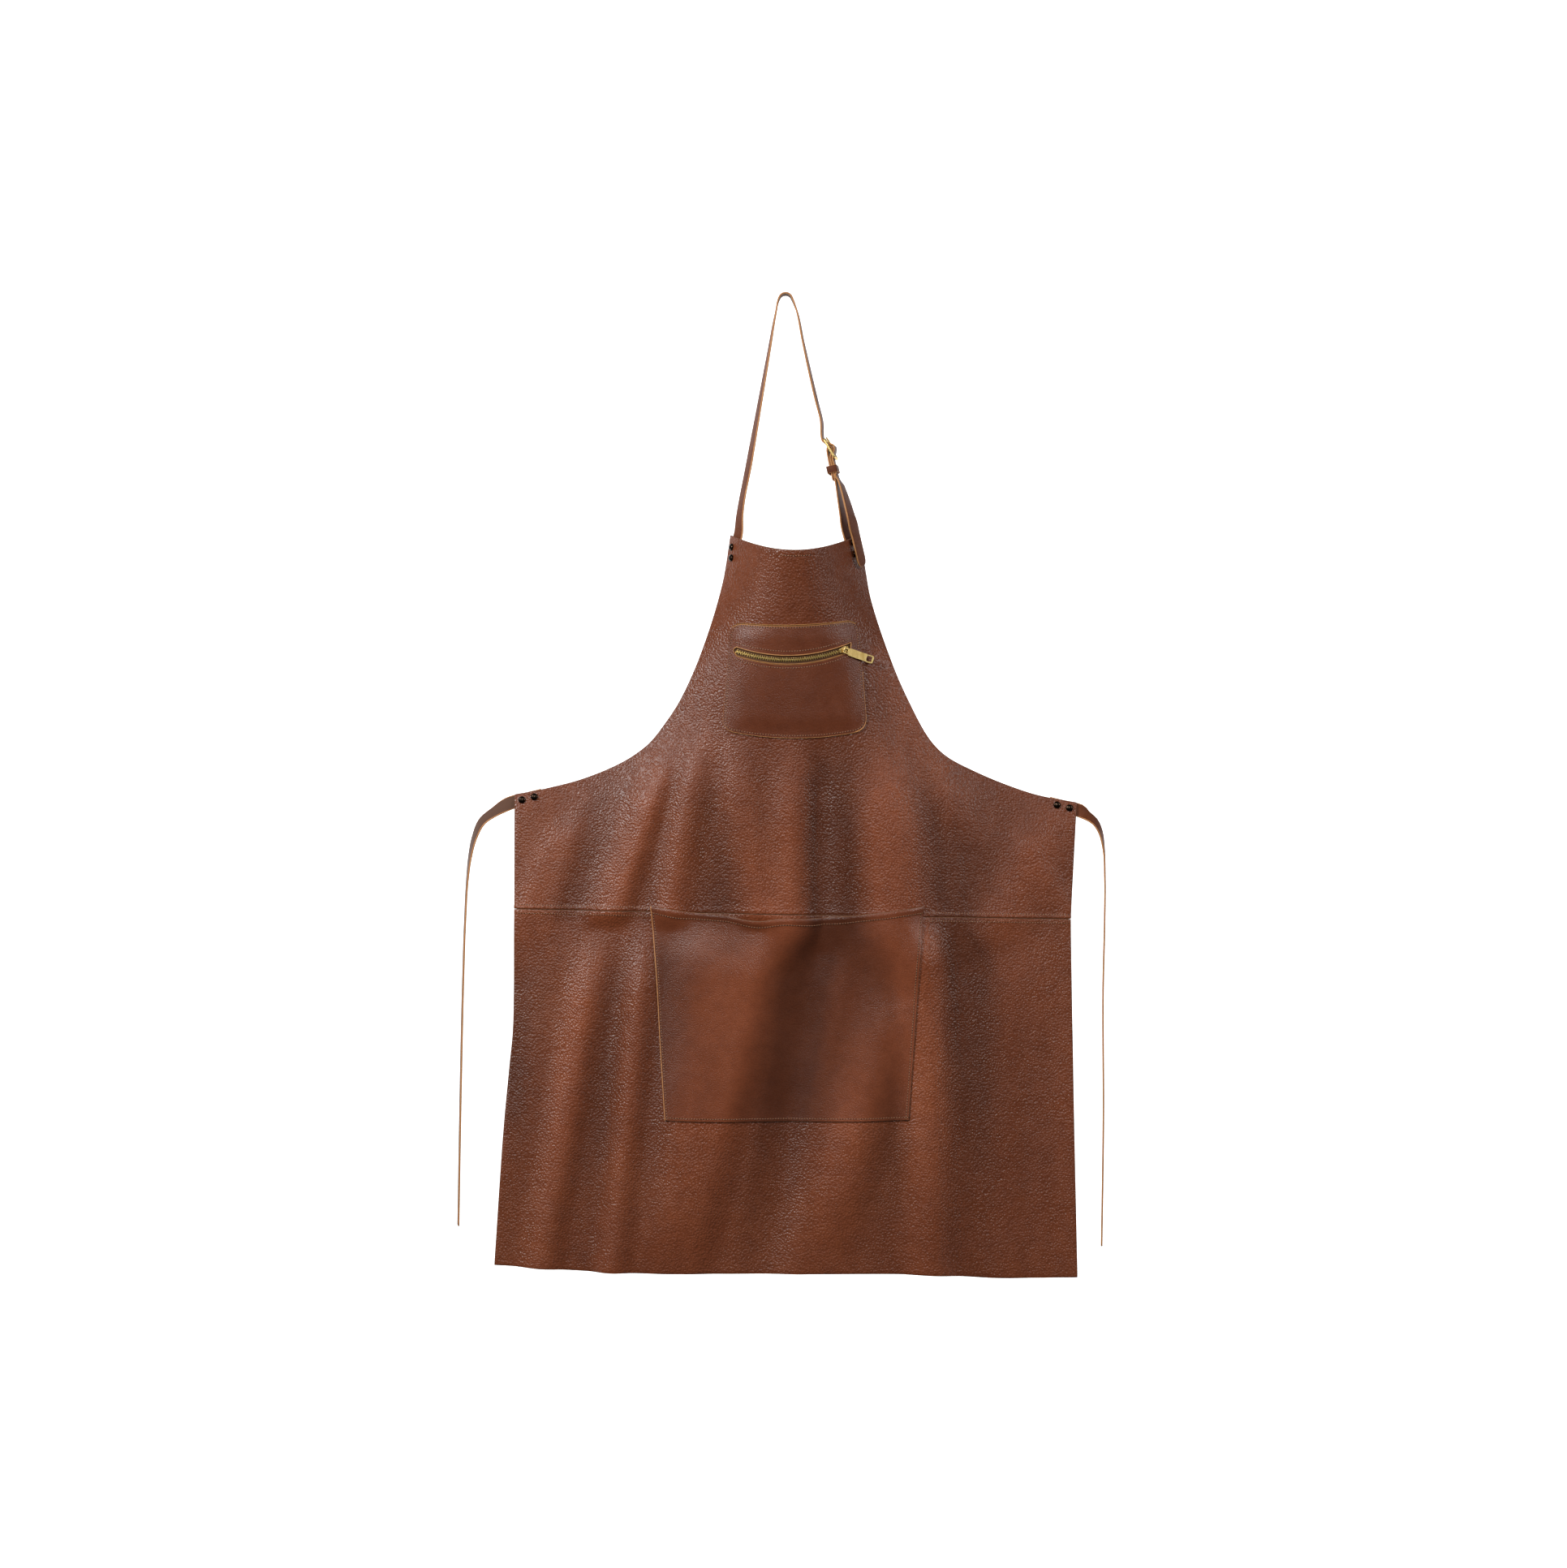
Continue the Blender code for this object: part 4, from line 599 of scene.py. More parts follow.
# Thread
def stitch_template():
    """Capsule of unit length along x, sunk at both ends, as points and faces."""
    rings = ((-0.50, 0.35, -0.9), (-0.38, 0.85, -0.2), (0.0, 1.0, 0.25), (0.38, 0.85, -0.2),
             (0.50, 0.35, -0.9))
    sides = 6
    points, faces = [], []
    for at, size, lift in rings:
        for side in range(sides):
            angle = 2.0 * math.pi * side / sides
            points.append((at, size * math.cos(angle), size * math.sin(angle) + lift))
    for ring in range(len(rings) - 1):
        for side in range(sides):
            after = (side + 1) % sides
            start, end = ring * sides, (ring + 1) * sides
            faces.append((start + side, end + side, end + after, start + after))
    faces.append(tuple(range(sides)))
    faces.append(tuple(reversed(range((len(rings) - 1) * sides, len(rings) * sides))))
    return np.array(points), faces


def stitches(name, lines, look, pitch=0.0031, length=0.0019, radius=0.00048):
    """Rows of thread along lines of (points, normals), with a near-black disc between them as painted shade
    in each stitch hole.
    """
    template, template_faces = stitch_template()
    hole_shade_sides = 7
    points, faces, slots, total = [], [], [], 0
    for line, normals in lines:
        steps = np.linalg.norm(np.diff(line, axis=0), axis=1)
        along = np.concatenate([[0.0], np.cumsum(steps)])
        count = max(1, round(along[-1] / pitch))
        marks = (np.arange(count) + 0.5) * along[-1] / count
        centres = np.stack([np.interp(marks, along, line[:, i]) for i in range(3)], axis=1)
        ups = np.stack([np.interp(marks, along, normals[:, i]) for i in range(3)], axis=1)
        ahead = np.stack([np.interp(marks + 0.001, along, line[:, i]) for i in range(3)], axis=1)
        behind = np.stack([np.interp(marks - 0.001, along, line[:, i]) for i in range(3)], axis=1)
        runs = ahead - behind
        runs /= np.linalg.norm(runs, axis=1, keepdims=True)
        ups /= np.linalg.norm(ups, axis=1, keepdims=True)
        sides = np.cross(ups, runs)
        for centre, run, side, up in zip(centres, runs, sides, ups):
            slant = run + side * 0.10
            points.append(
                centre
                + template[:, :1] * length * slant
                + template[:, 1:2] * radius * side
                + template[:, 2:] * radius * up
            )
            faces += [tuple(index + total for index in face) for face in template_faces]
            slots += [0] * len(template_faces)
            total += len(template)
            # Painted shade: a small near-black disc sits in each stitch hole, where the hole's shadow falls
            hole = [centre + run * pitch / 2.0 + up * 0.00022]
            for step in range(hole_shade_sides):
                angle = 2.0 * math.pi * step / hole_shade_sides
                hole.append(
                    centre
                    + run * (pitch / 2.0 + 0.00075 * math.cos(angle))
                    + side * (0.00090 * math.sin(angle))
                    - up * 0.0001
                )
            points.append(np.array(hole))
            for step in range(hole_shade_sides):
                after = (step + 1) % hole_shade_sides
                faces.append((total, total + 1 + step, total + 1 + after))
            faces.append(tuple(total + 1 + step for step in reversed(range(hole_shade_sides))))
            slots += [1] * (hole_shade_sides + 1)
            total += hole_shade_sides + 1
    return add_mesh(name, np.concatenate(points), faces, [look, HOLE_SHADE], slots)


def surface_line(places, height):
    places = np.array(places, float)
    return raised(places, height), face_normals(places)


# Materials
def nodes_for(name):
    made = bpy.data.materials.new(name)
    made.use_nodes = True
    tree = made.node_tree
    return made, tree, tree.nodes["Principled BSDF"]


def object_coordinates(tree, stretch=(1.0, 1.0, 1.0)):
    coordinates = tree.nodes.new("ShaderNodeTexCoord")
    mapping = tree.nodes.new("ShaderNodeMapping")
    mapping.inputs["Scale"].default_value = stretch
    tree.links.new(coordinates.outputs["Object"], mapping.inputs["Vector"])
    return mapping.outputs["Vector"]


def noise(tree, vector, scale, detail=3.0, roughness=0.5):
    node = tree.nodes.new("ShaderNodeTexNoise")
    node.inputs["Scale"].default_value = scale
    node.inputs["Detail"].default_value = detail
    node.inputs["Roughness"].default_value = roughness
    tree.links.new(vector, node.inputs["Vector"])
    return node.outputs["Fac"]


def cells(tree, vector, scale, feature="F1", smoothness=None):
    node = tree.nodes.new("ShaderNodeTexVoronoi")
    node.feature = feature
    node.inputs["Scale"].default_value = scale
    if smoothness is not None:
        node.inputs["Smoothness"].default_value = smoothness
    tree.links.new(vector, node.inputs["Vector"])
    return node.outputs["Distance"]


def ranged(tree, value, low, high, to_low, to_high):
    node = tree.nodes.new("ShaderNodeMapRange")
    for key, number in (("From Min", low), ("From Max", high), ("To Min", to_low), ("To Max", to_high)):
        node.inputs[key].default_value = number
    tree.links.new(value, node.inputs["Value"])
    return node.outputs["Result"]


def colour_ramp(tree, value, stops):
    node = tree.nodes.new("ShaderNodeValToRGB")
    ramp = node.color_ramp
    while len(ramp.elements) < len(stops):
        ramp.elements.new(0.5)
    for element, (at, colour) in zip(ramp.elements, stops):
        element.position = at
        element.color = (*colour, 1.0)
    tree.links.new(value, node.inputs["Fac"])
    return node.outputs["Color"]


def mixed(tree, kind, factor, first, second):
    node = tree.nodes.new("ShaderNodeMix")
    node.data_type = "RGBA"
    node.blend_type = kind
    if isinstance(factor, float):
        node.inputs["Factor"].default_value = factor
    else:
        tree.links.new(factor, node.inputs["Factor"])
    tree.links.new(first, node.inputs[6])
    tree.links.new(second, node.inputs[7])
    return node.outputs[2]


def bump(tree, height, strength, distance, before=None):
    node = tree.nodes.new("ShaderNodeBump")
    node.inputs["Strength"].default_value = strength
    node.inputs["Distance"].default_value = distance
    tree.links.new(height, node.inputs["Height"])
    if before is not None:
        tree.links.new(before, node.inputs["Normal"])
    return node.outputs["Normal"]


def paint_fold_shade(piece):
    """Measure on a piece's skin that is negative in the hollows and positive on the crests: the mask for
    the painted shade in the fold hollows and the painted light on the crests.
    """
    mesh = piece.data
    points = np.empty(3 * len(mesh.vertices))
    mesh.vertices.foreach_get("co", points)
    x, _, z = points.reshape(-1, 3).T
    level = level_at(z)
    around = np.mean([fold_depth(x + step, level) for step in FOLD_SHADE_STEPS], axis=0)
    share = np.clip((fold_depth(x, level) - around) / FOLD_SHADE_DEPTH, -1.0, 1.0)
    share = share * (1.0 - 0.65 * smooth_step((level - 1.45) / 0.45))
    mesh.attributes.new("tone_mask", "FLOAT", "POINT").data.foreach_set("value", share)


def leather(name, dark, mid, light, grain, grain_depth, rough_low, rough_high, gloss=0.42):
    """Brown hide: mottled colour, pebbled grain, gloss that varies over the skin, and painted shade in the
    fold hollows with painted light on the crests.
    """
    made, tree, shader = nodes_for(name)
    place = object_coordinates(tree)
    broad = noise(tree, place, 5.0, 4.0, 0.55)
    fine = noise(tree, place, 70.0, 5.0, 0.6)
    base = colour_ramp(tree, broad, ((0.30, dark), (0.50, mid), (0.72, light)))
    flecks = colour_ramp(tree, fine, ((0.35, (0.80, 0.76, 0.74)), (0.62, (1.06, 1.06, 1.06))))
    colour = mixed(tree, "MULTIPLY", 0.55, base, flecks)
    pebbles = cells(tree, place, grain, "SMOOTH_F1", 0.35)
    creases = colour_ramp(tree, pebbles, ((0.30, (1.0, 1.0, 1.0)), (0.75, (0.72, 0.66, 0.64))))
    colour = mixed(tree, "MULTIPLY", 0.45, colour, creases)
    # Painted shade and light: the colour is multiplied down in the fold hollows and up on the crests, from
    # the piece's fold mask
    fold_shade_node = tree.nodes.new("ShaderNodeAttribute")
    fold_shade_node.attribute_name = "tone_mask"
    shade = ranged(tree, fold_shade_node.outputs["Fac"], -1.0, 1.0, *FOLD_SHADE_TONES)
    colour = mixed(tree, "MULTIPLY", 1.0, colour, shade)
    tree.links.new(colour, shader.inputs["Base Color"])
    rough = ranged(tree, noise(tree, place, 24.0, 3.0, 0.6), 0.3, 0.7, rough_low, rough_high)
    tree.links.new(rough, shader.inputs["Roughness"])
    shader.inputs["Specular IOR Level"].default_value = gloss
    waves = bump(tree, noise(tree, place, 16.0, 2.0, 0.5), 0.25, 0.0035)
    grained = bump(tree, ranged(tree, pebbles, 0.0, 0.9, 1.0, 0.0), 0.9, grain_depth, waves)
    pores = bump(tree, noise(tree, place, 2400.0, 2.0, 0.6), 0.35, 0.00008, grained)
    tree.links.new(pores, shader.inputs["Normal"])
    return made


def raw_edge(name, dark, light):
    """Cut edge of the hide: tan fibres, burnished."""
    made, tree, shader = nodes_for(name)
    place = object_coordinates(tree)
    fibre = noise(tree, place, 900.0, 4.0, 0.7)
    colour = colour_ramp(tree, fibre, ((0.32, dark), (0.66, light)))
    tree.links.new(colour, shader.inputs["Base Color"])
    tree.links.new(ranged(tree, fibre, 0.3, 0.7, 0.48, 0.68), shader.inputs["Roughness"])
    tree.links.new(bump(tree, fibre, 0.5, 0.00015), shader.inputs["Normal"])
    return made


def flesh_side(name, dark, light):
    """Back of the hide: suede nap."""
    made, tree, shader = nodes_for(name)
    place = object_coordinates(tree)
    nap = noise(tree, place, 700.0, 5.0, 0.75)
    blotches = noise(tree, place, 11.0, 4.0, 0.6)
    colour = mixed(
        tree, "MULTIPLY", 0.6,
        colour_ramp(tree, blotches, ((0.3, dark), (0.7, light))),
        colour_ramp(tree, nap, ((0.3, (0.72, 0.70, 0.68)), (0.7, (1.0, 1.0, 1.0)))),
    )
    tree.links.new(colour, shader.inputs["Base Color"])
    tree.links.new(ranged(tree, nap, 0.3, 0.7, 0.82, 0.95), shader.inputs["Roughness"])
    shader.inputs["Sheen Weight"].default_value = 0.25
    shader.inputs["Sheen Roughness"].default_value = 0.5
    tree.links.new(bump(tree, nap, 0.7, 0.0003), shader.inputs["Normal"])
    return made


def thread_look(name, dark, light):
    made, tree, shader = nodes_for(name)
    place = object_coordinates(tree)
    twist = tree.nodes.new("ShaderNodeTexWave")
    twist.bands_direction = "DIAGONAL"
    twist.inputs["Scale"].default_value = 900.0
    twist.inputs["Distortion"].default_value = 1.5
    tree.links.new(place, twist.inputs["Vector"])
    colour = colour_ramp(tree, twist.outputs["Fac"], ((0.2, dark), (0.8, light)))
    tree.links.new(colour, shader.inputs["Base Color"])
    tree.links.new(bump(tree, twist.outputs["Fac"], 0.6, 0.0001), shader.inputs["Normal"])
    shader.inputs["Roughness"].default_value = 0.7
    shader.inputs["Sheen Weight"].default_value = 0.3
    return made


def metal_look(name, dull, bright, rough_low, rough_high, scratch=1800.0):
    made, tree, shader = nodes_for(name)
    place = object_coordinates(tree, (1.0, 1.0, 0.35))
    tone_mask = noise(tree, place, 260.0, 4.0, 0.6)
    fine = noise(tree, place, scratch, 3.0, 0.6)
    tree.links.new(
        colour_ramp(tree, tone_mask, ((0.3, dull), (0.65, bright))), shader.inputs["Base Color"]
    )
    tree.links.new(ranged(tree, tone_mask, 0.3, 0.7, rough_high, rough_low), shader.inputs["Roughness"])
    shader.inputs["Metallic"].default_value = 1.0
    tree.links.new(bump(tree, fine, 0.25, 0.00006), shader.inputs["Normal"])
    return made


def tape_look(name, dark, light):
    made, tree, shader = nodes_for(name)
    place = object_coordinates(tree)
    ribs = tree.nodes.new("ShaderNodeTexWave")
    ribs.inputs["Scale"].default_value = 420.0
    ribs.bands_direction = "Z"
    tree.links.new(place, ribs.inputs["Vector"])
    picks = tree.nodes.new("ShaderNodeTexWave")
    picks.inputs["Scale"].default_value = 420.0
    picks.bands_direction = "X"
    tree.links.new(place, picks.inputs["Vector"])
    weave = tree.nodes.new("ShaderNodeMath")
    weave.operation = "MULTIPLY"
    tree.links.new(ribs.outputs["Fac"], weave.inputs[0])
    tree.links.new(picks.outputs["Fac"], weave.inputs[1])
    tree.links.new(
        colour_ramp(tree, weave.outputs[0], ((0.1, dark), (0.8, light))),
        shader.inputs["Base Color"],
    )
    tree.links.new(bump(tree, weave.outputs[0], 0.8, 0.0002), shader.inputs["Normal"])
    shader.inputs["Roughness"].default_value = 0.9
    return made


HIDE = leather(
    "hide", (0.192, 0.050, 0.018), (0.232, 0.062, 0.023), (0.272, 0.076, 0.029),
    430.0, 0.0007, 0.31, 0.42,
)
POCKET_HIDE = leather(
    "pocket_hide", (0.176, 0.046, 0.018), (0.212, 0.057, 0.022), (0.244, 0.067, 0.027),
    700.0, 0.00030, 0.30, 0.40,
)
STRAP_HIDE = leather(
    "strap_hide", (0.150, 0.040, 0.014), (0.190, 0.052, 0.018), (0.225, 0.066, 0.024),
    620.0, 0.0003, 0.46, 0.58, gloss=0.18,
)
CUT_EDGE = raw_edge("cut_edge", (0.36, 0.145, 0.045), (0.62, 0.290, 0.100))
DARK_EDGE = raw_edge("dark_edge", (0.10, 0.038, 0.018), (0.22, 0.090, 0.040))
FLESH = flesh_side("flesh_side", (0.115, 0.050, 0.028), (0.170, 0.080, 0.046))
THREAD = thread_look("thread", (0.24, 0.098, 0.042), (0.46, 0.205, 0.090))
BRASS = metal_look("brass_metal", (0.70, 0.48, 0.16), (0.95, 0.72, 0.30), 0.40, 0.50)
TEETH_BRASS = metal_look("teeth_brass", (0.58, 0.38, 0.11), (0.90, 0.66, 0.25), 0.38, 0.50)
# Near-black look for the discs in the stitch holes: painted shade
HOLE_SHADE = raw_edge("stitch_hole_shade", (0.020, 0.008, 0.005), (0.045, 0.018, 0.010))
DARK_METAL = metal_look("dark_bronze", (0.012, 0.008, 0.006), (0.055, 0.035, 0.024), 0.20, 0.36)
TAPE = tape_look("zip_tape_weave", (0.085, 0.038, 0.016), (0.240, 0.120, 0.050))


def apron_piece(obj, *nodes, slot=None, body="apron"):
    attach(obj, body)
    if nodes:
        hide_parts(*nodes)
    return obj


# Panels
ARMHOLE_STEPS, BIB_STEPS = 64, 52
BIB_GRID = bib_grid(ARMHOLE_STEPS, BIB_STEPS, shares(110))
SKIRT_GRID = skirt_grid(ARMHOLE_STEPS, BIB_STEPS, shares(104))


def seam_roll(grid, row_distance):
    """Extra height beside the waist seam, where the allowances lie turned back."""
    seam_z = -NECK_DROP - BIB_HEIGHT - (grid[..., 0] - WAIST_SHIFT) / WAIST_WIDTH * WAIST_TILT
    away = np.abs(grid[..., 1] - seam_z)
    return 0.0013 * np.exp(-((away - row_distance) / 0.0019) ** 2)


def build_panels():
    for name, grid, node in (
        ("bib_leather", BIB_GRID, "bib_panel"),
        ("skirt_leather", SKIRT_GRID, "skirt_panel"),
    ):
        roll = seam_roll(grid, 0.0022)
        panel = wall(
            name, grid, -PANEL_THICK + roll * 0.5, roll, [HIDE, DARK_EDGE, FLESH],
            edge_reach=EDGE_REACH,
        )
        turn_back_inside_out(panel, grid)
        # Mask for the painted shade in the fold hollows and the painted light on the crests
        paint_fold_shade(panel)
        apron_piece(panel, node, slot="leather")


def build_seam_allowance():
    """Strip of the bib's hide that runs on behind the skirt under the waist seam."""
    rise, fall = 0.0075, 0.0085
    grid = np.array([
        [np.array(seam_place(across)) + (0.0, rise - (rise + fall) * down) for down in shares(4)]
        for across in np.linspace(0.004, 0.996, 150)
    ])
    low = -2.0 * PANEL_THICK + 0.0002
    strip = wall("seam_allowance", grid, low, -PANEL_THICK - 0.0001, [FLESH, DARK_EDGE], arc=3)
    apron_piece(strip, slot="leather")


def turn_back_inside_out(panel, grid):
    """Gives the back of a wall the flesh side's look, its third."""
    columns, rows = grid.shape[:2]
    for index in range((columns - 1) * (rows - 1)):
        panel.data.polygons[2 * index + 1].material_index = 2


# Chest pocket and zip
def chest_corners():
    top = -NECK_DROP - CHEST_TOP
    bottom = top - CHEST_HEIGHT
    half_top = CHEST_WIDTH / 2.0
    half_bottom = half_top + CHEST_SPREAD / 2.0
    return (
        (BIB_SHIFT - half_top, top),
        (BIB_SHIFT - half_bottom, bottom),
        (BIB_SHIFT + half_bottom, bottom),
        (BIB_SHIFT + half_top, top),
    )


def rounded_outline(corners, radius, arc_steps, edge_steps, inset=0.0):
    """Places round a four-sided patch from its top left corner downwards."""
    middle = np.mean(corners, axis=0)
    outline = []
    count = len(corners)
    pulled = [
        np.array(corner) - np.sign(np.array(corner) - middle) * inset for corner in corners
    ]
    radius = max(radius - inset, 0.0005)
    for index, here in enumerate(pulled):
        before = pulled[index - 1]
        after = pulled[(index + 1) % count]
        enter = here + (before - here) / np.linalg.norm(before - here) * radius
        leave = here + (after - here) / np.linalg.norm(after - here) * radius
        for share in shares(arc_steps):
            first = enter + (here - enter) * share
            outline.append(first + (here + (leave - here) * share - first) * share)
        end = after + (here - after) / np.linalg.norm(here - after) * radius
        for step in range(1, edge_steps[index % 2]):
            outline.append(leave + (end - leave) * step / edge_steps[index % 2])
    return np.array(outline)


def bowed(outline, corners, top_bow, bottom_bow):
    left, right = corners[1][0], corners[2][0]
    top, bottom = corners[0][1], corners[1][1]
    away = 2.0 * (outline[:, 0] - left) / (right - left) - 1.0
    height = (outline[:, 1] - bottom) / (top - bottom)
    bow = top_bow * height + bottom_bow * (1.0 - height)
    moved = outline.copy()
    moved[:, 1] += CHEST_TILT * away * height - bow * (1.0 - np.clip(away * away, 0.0, 1.0))
    return moved


def zip_place(share):
    x = BIB_SHIFT - ZIP_SHIFT + (share - 0.5) * ZIP_LENGTH
    away = 2.0 * share - 1.0
    ends = -NECK_DROP - CHEST_TOP - ZIP_DROP
    return x, ends - ZIP_BOW * (1.0 - away * away) + 0.15 * ZIP_BOW * away


def chest_loft(places):
    corners = chest_corners()
    top, bottom = corners[0][1], corners[1][1] - CHEST_BOW
    half = CHEST_WIDTH / 2.0 + CHEST_SPREAD / 2.0
    edge = 0.026
    x, z = places[..., 0], places[..., 1]
    side = smooth_step((half - np.abs(x - BIB_SHIFT)) / edge)
    rise = smooth_step((top - z) / edge) * smooth_step((z - bottom) / edge)
    return CHEST_LOFT * side * rise


def chest_height(places):
    return GAP + POCKET_THICK + chest_loft(places)


def slot_outline(count_by_side):
    """Places round the zip slot that match the pocket outline's, side by side."""
    arc, down, along = count_by_side
    half = ZIP_SLOT_HEIGHT / 2.0
    chamfer = 0.030
    outline = []

    def edge(share, height):
        x, z = zip_place(share)
        return x, z + height

    side_points = arc + down
    lower = [edge(chamfer, half), edge(0.0, half * 0.25), edge(0.0, -half * 0.25), edge(chamfer, -half)]
    positions = np.linspace(0.0, 3.0, side_points)
    left = [
        tuple(np.interp(p, range(4), [point[i] for point in lower]) for i in (0, 1))
        for p in positions
    ]
    outline += left
    below = np.linspace(chamfer, 1.0, arc + along + 1)[1:]
    outline += [edge(share, -half) for share in below]
    right = np.linspace(-half, half, side_points + 1)[1:]
    outline += [edge(1.0, height) for height in right]
    above = np.linspace(1.0, chamfer, arc + along + 1)[1:-1]
    outline += [edge(share, half) for share in above]
    return np.array(outline)


def chest_band(outer):
    """Width of the bevelled cut edge that shows light along each part of the outline."""
    corners = chest_corners()
    middle = (corners[0][1] + corners[1][1]) / 2.0
    top = (outer[:, 1] > middle) & (np.abs(outer[:, 0] - BIB_SHIFT) < CHEST_WIDTH / 2.0 - 0.004)
    low = (outer[:, 1] < corners[1][1] + CHEST_RADIUS * 0.5)
    right = (outer[:, 0] > BIB_SHIFT + CHEST_WIDTH / 2.0 - 0.004) & (outer[:, 1] < middle)
    return np.select([top, right, low], [0.0016, 0.0012, 0.0004], 0.0)


def edge_band(pocket, shape, shown):
    """Gives the front face's outermost row the cut edge's look where shown, and the innermost."""
    columns, rows = shape[:2]
    for column in range(columns):
        if shown[column] > 0.0:
            pocket.data.polygons[2 * column * (rows - 1)].material_index = 1
        pocket.data.polygons[2 * (column + 1) * (rows - 1) - 2].material_index = 1


def build_chest_pocket():
    corners = chest_corners()
    arc, down, along = 8, 26, 34
    outer = rounded_outline(corners, CHEST_RADIUS, arc, (down, along), inset=POCKET_THICK * 0.3)
    outer = bowed(outer, corners, CHEST_BOW, CHEST_BOTTOM_BOW)
    outer = np.roll(outer, -(arc // 2), axis=0)
    inner = slot_outline((arc, down, along))
    if len(inner) != len(outer):
        marks = np.linspace(0.0, len(inner), len(outer), endpoint=False)
        closed = np.vstack([inner, inner[:1]])
        inner = np.stack(
            [np.interp(marks, range(len(closed)), closed[:, i]) for i in (0, 1)], axis=1
        )
    widths = chest_band(outer)
    grid = []
    for place, end, width in zip(outer, inner, widths):
        length = float(np.linalg.norm(end - place))
        first, last = max(width, 0.0004) / length, 1.0 - 0.0009 / length
        rows = [0.0] + [first + (last - first) * share for share in shares(22)] + [1.0]
        grid.append([place + (end - place) * share for share in rows])
    grid = np.array(grid)
    loft = chest_loft(grid)
    pocket = wall(
        "chest_pocket_leather", grid, GAP + loft, GAP + POCKET_THICK + loft,
        [POCKET_HIDE, CUT_EDGE], wrap=True, edge_reach=0.6,
    )
    edge_band(pocket, grid.shape, widths)
    apron_piece(pocket, "chest_pocket", slot="pocket_leather")
    points = raised(grid, 0.0)
    closed = np.concatenate([points, points[:1]])

    edge_row = bowed(
        rounded_outline(corners, CHEST_RADIUS, 8, (40, 50), inset=0.0034),
        corners, CHEST_BOW, CHEST_BOTTOM_BOW,
    )
    edge_row = np.vstack([edge_row, edge_row[:1]])
    lines = [surface_line(edge_row, chest_height(edge_row))]
    half = ZIP_SLOT_HEIGHT / 2.0
    for offset in (half + 0.0052, -half - 0.0044):
        row = np.array([zip_place(share) for share in shares(60)]) + (0.0, offset)
        lines.append(surface_line(row, chest_height(row)))
    apron_piece(stitches("chest_pocket_stitching", lines, THREAD), slot="pocket_leather")


def build_zip():
    rows = np.array([
        [
            np.array(zip_place(-0.02 + 1.04 * share)) + (0.0, ZIP_TAPE_WIDTH * (0.5 - down))
            for down in shares(8)
        ]
        for share in shares(60)
    ])
    tape = wall(
        "zip_tape_fabric", rows, ZIP_STAND, ZIP_STAND + ZIP_TAPE_THICK, [TAPE, TAPE], arc=3
    )
    apron_piece(tape, "zip_tape", slot="zip_tape_cloth")

    top = ZIP_STAND + ZIP_TAPE_THICK
    pitch = 0.00255
    count = int(ZIP_LENGTH * 0.96 / pitch)
    points, faces = [], []
    block = [
        (a, b, c) for a in (-0.5, 0.5) for b in (0.0, 1.0) for c in (0.0, 1.0)
    ]
    block_faces = [(0, 1, 3, 2), (4, 6, 7, 5), (0, 4, 5, 1), (2, 3, 7, 6), (0, 2, 6, 4), (1, 5, 7, 3)]
    for index in range(2 * count):
        share = 0.02 + 0.96 * (index + 0.5) / (2 * count)
        side = 1.0 if index % 2 else -1.0
        place = np.array(zip_place(share))
        ahead = raised(np.array(zip_place(share + 0.004)), 0.0)
        here = raised(place, 0.0)
        up = face_normals(place)
        run = (ahead - here) / np.linalg.norm(ahead - here)
        across = np.cross(up, run)
        foot = here + up * (top + GAP)
        base = len(points)
        for a, b, c in block:
            reach = (-0.0007 + b * 0.0029) * side
            thin = 0.84 if b > 0.5 else 1.0
            high = ZIP_CHAIN_THICK * (0.92 if c > 0.5 else 0.0)
            points.append(
                foot + run * a * pitch * 0.46 * thin - across * reach * -1.0 + up * high
            )
        faces += [tuple(i + base for i in face) for face in block_faces]
    teeth = add_mesh("zip_teeth", points, faces, [TEETH_BRASS])
    teeth.data.shade_flat()
    fix_normals(teeth)
    bevelled(teeth, 0.00022, 2)
    apron_piece(teeth, "zip_chain", slot="brass")


def fix_normals(obj):
    shape = bmesh.new()
    shape.from_mesh(obj.data)
    bmesh.ops.recalc_face_normals(shape, faces=shape.faces)
    shape.to_mesh(obj.data)
    shape.free()


def bevelled(obj, width, segments):
    change = obj.modifiers.new("soft_edges", "BEVEL")
    change.width = width
    change.segments = segments
    change.limit_method = "ANGLE"
    change.angle_limit = math.radians(35.0)


def plate(name, outline, hole, thick, frame_axes, origin, look):
    """Flat plate from an outline and a matching hole outline in two of the axes."""
    lie, side, rise = frame_axes
    count = len(outline)
    points, faces = [], []
    for ring in (outline, hole):
        for height in (-thick / 2.0, thick / 2.0):
            points += [origin + lie * a + side * b + rise * height for a, b in ring]
    for index in range(count):
        after = (index + 1) % count
        low_out, high_out, low_in, high_in = 0, count, 2 * count, 3 * count
        faces.append((low_out + index, low_out + after, high_out + after, high_out + index))
        faces.append((high_out + index, high_out + after, high_in + after, high_in + index))
        faces.append((high_in + index, high_in + after, low_in + after, low_in + index))
        faces.append((low_in + index, low_in + after, low_out + after, low_out + index))
    made = add_mesh(name, [tuple(p) for p in points], faces, [look])
    fix_normals(made)
    made.data.shade_flat()
    bevelled(made, 0.00030, 3)
    return made


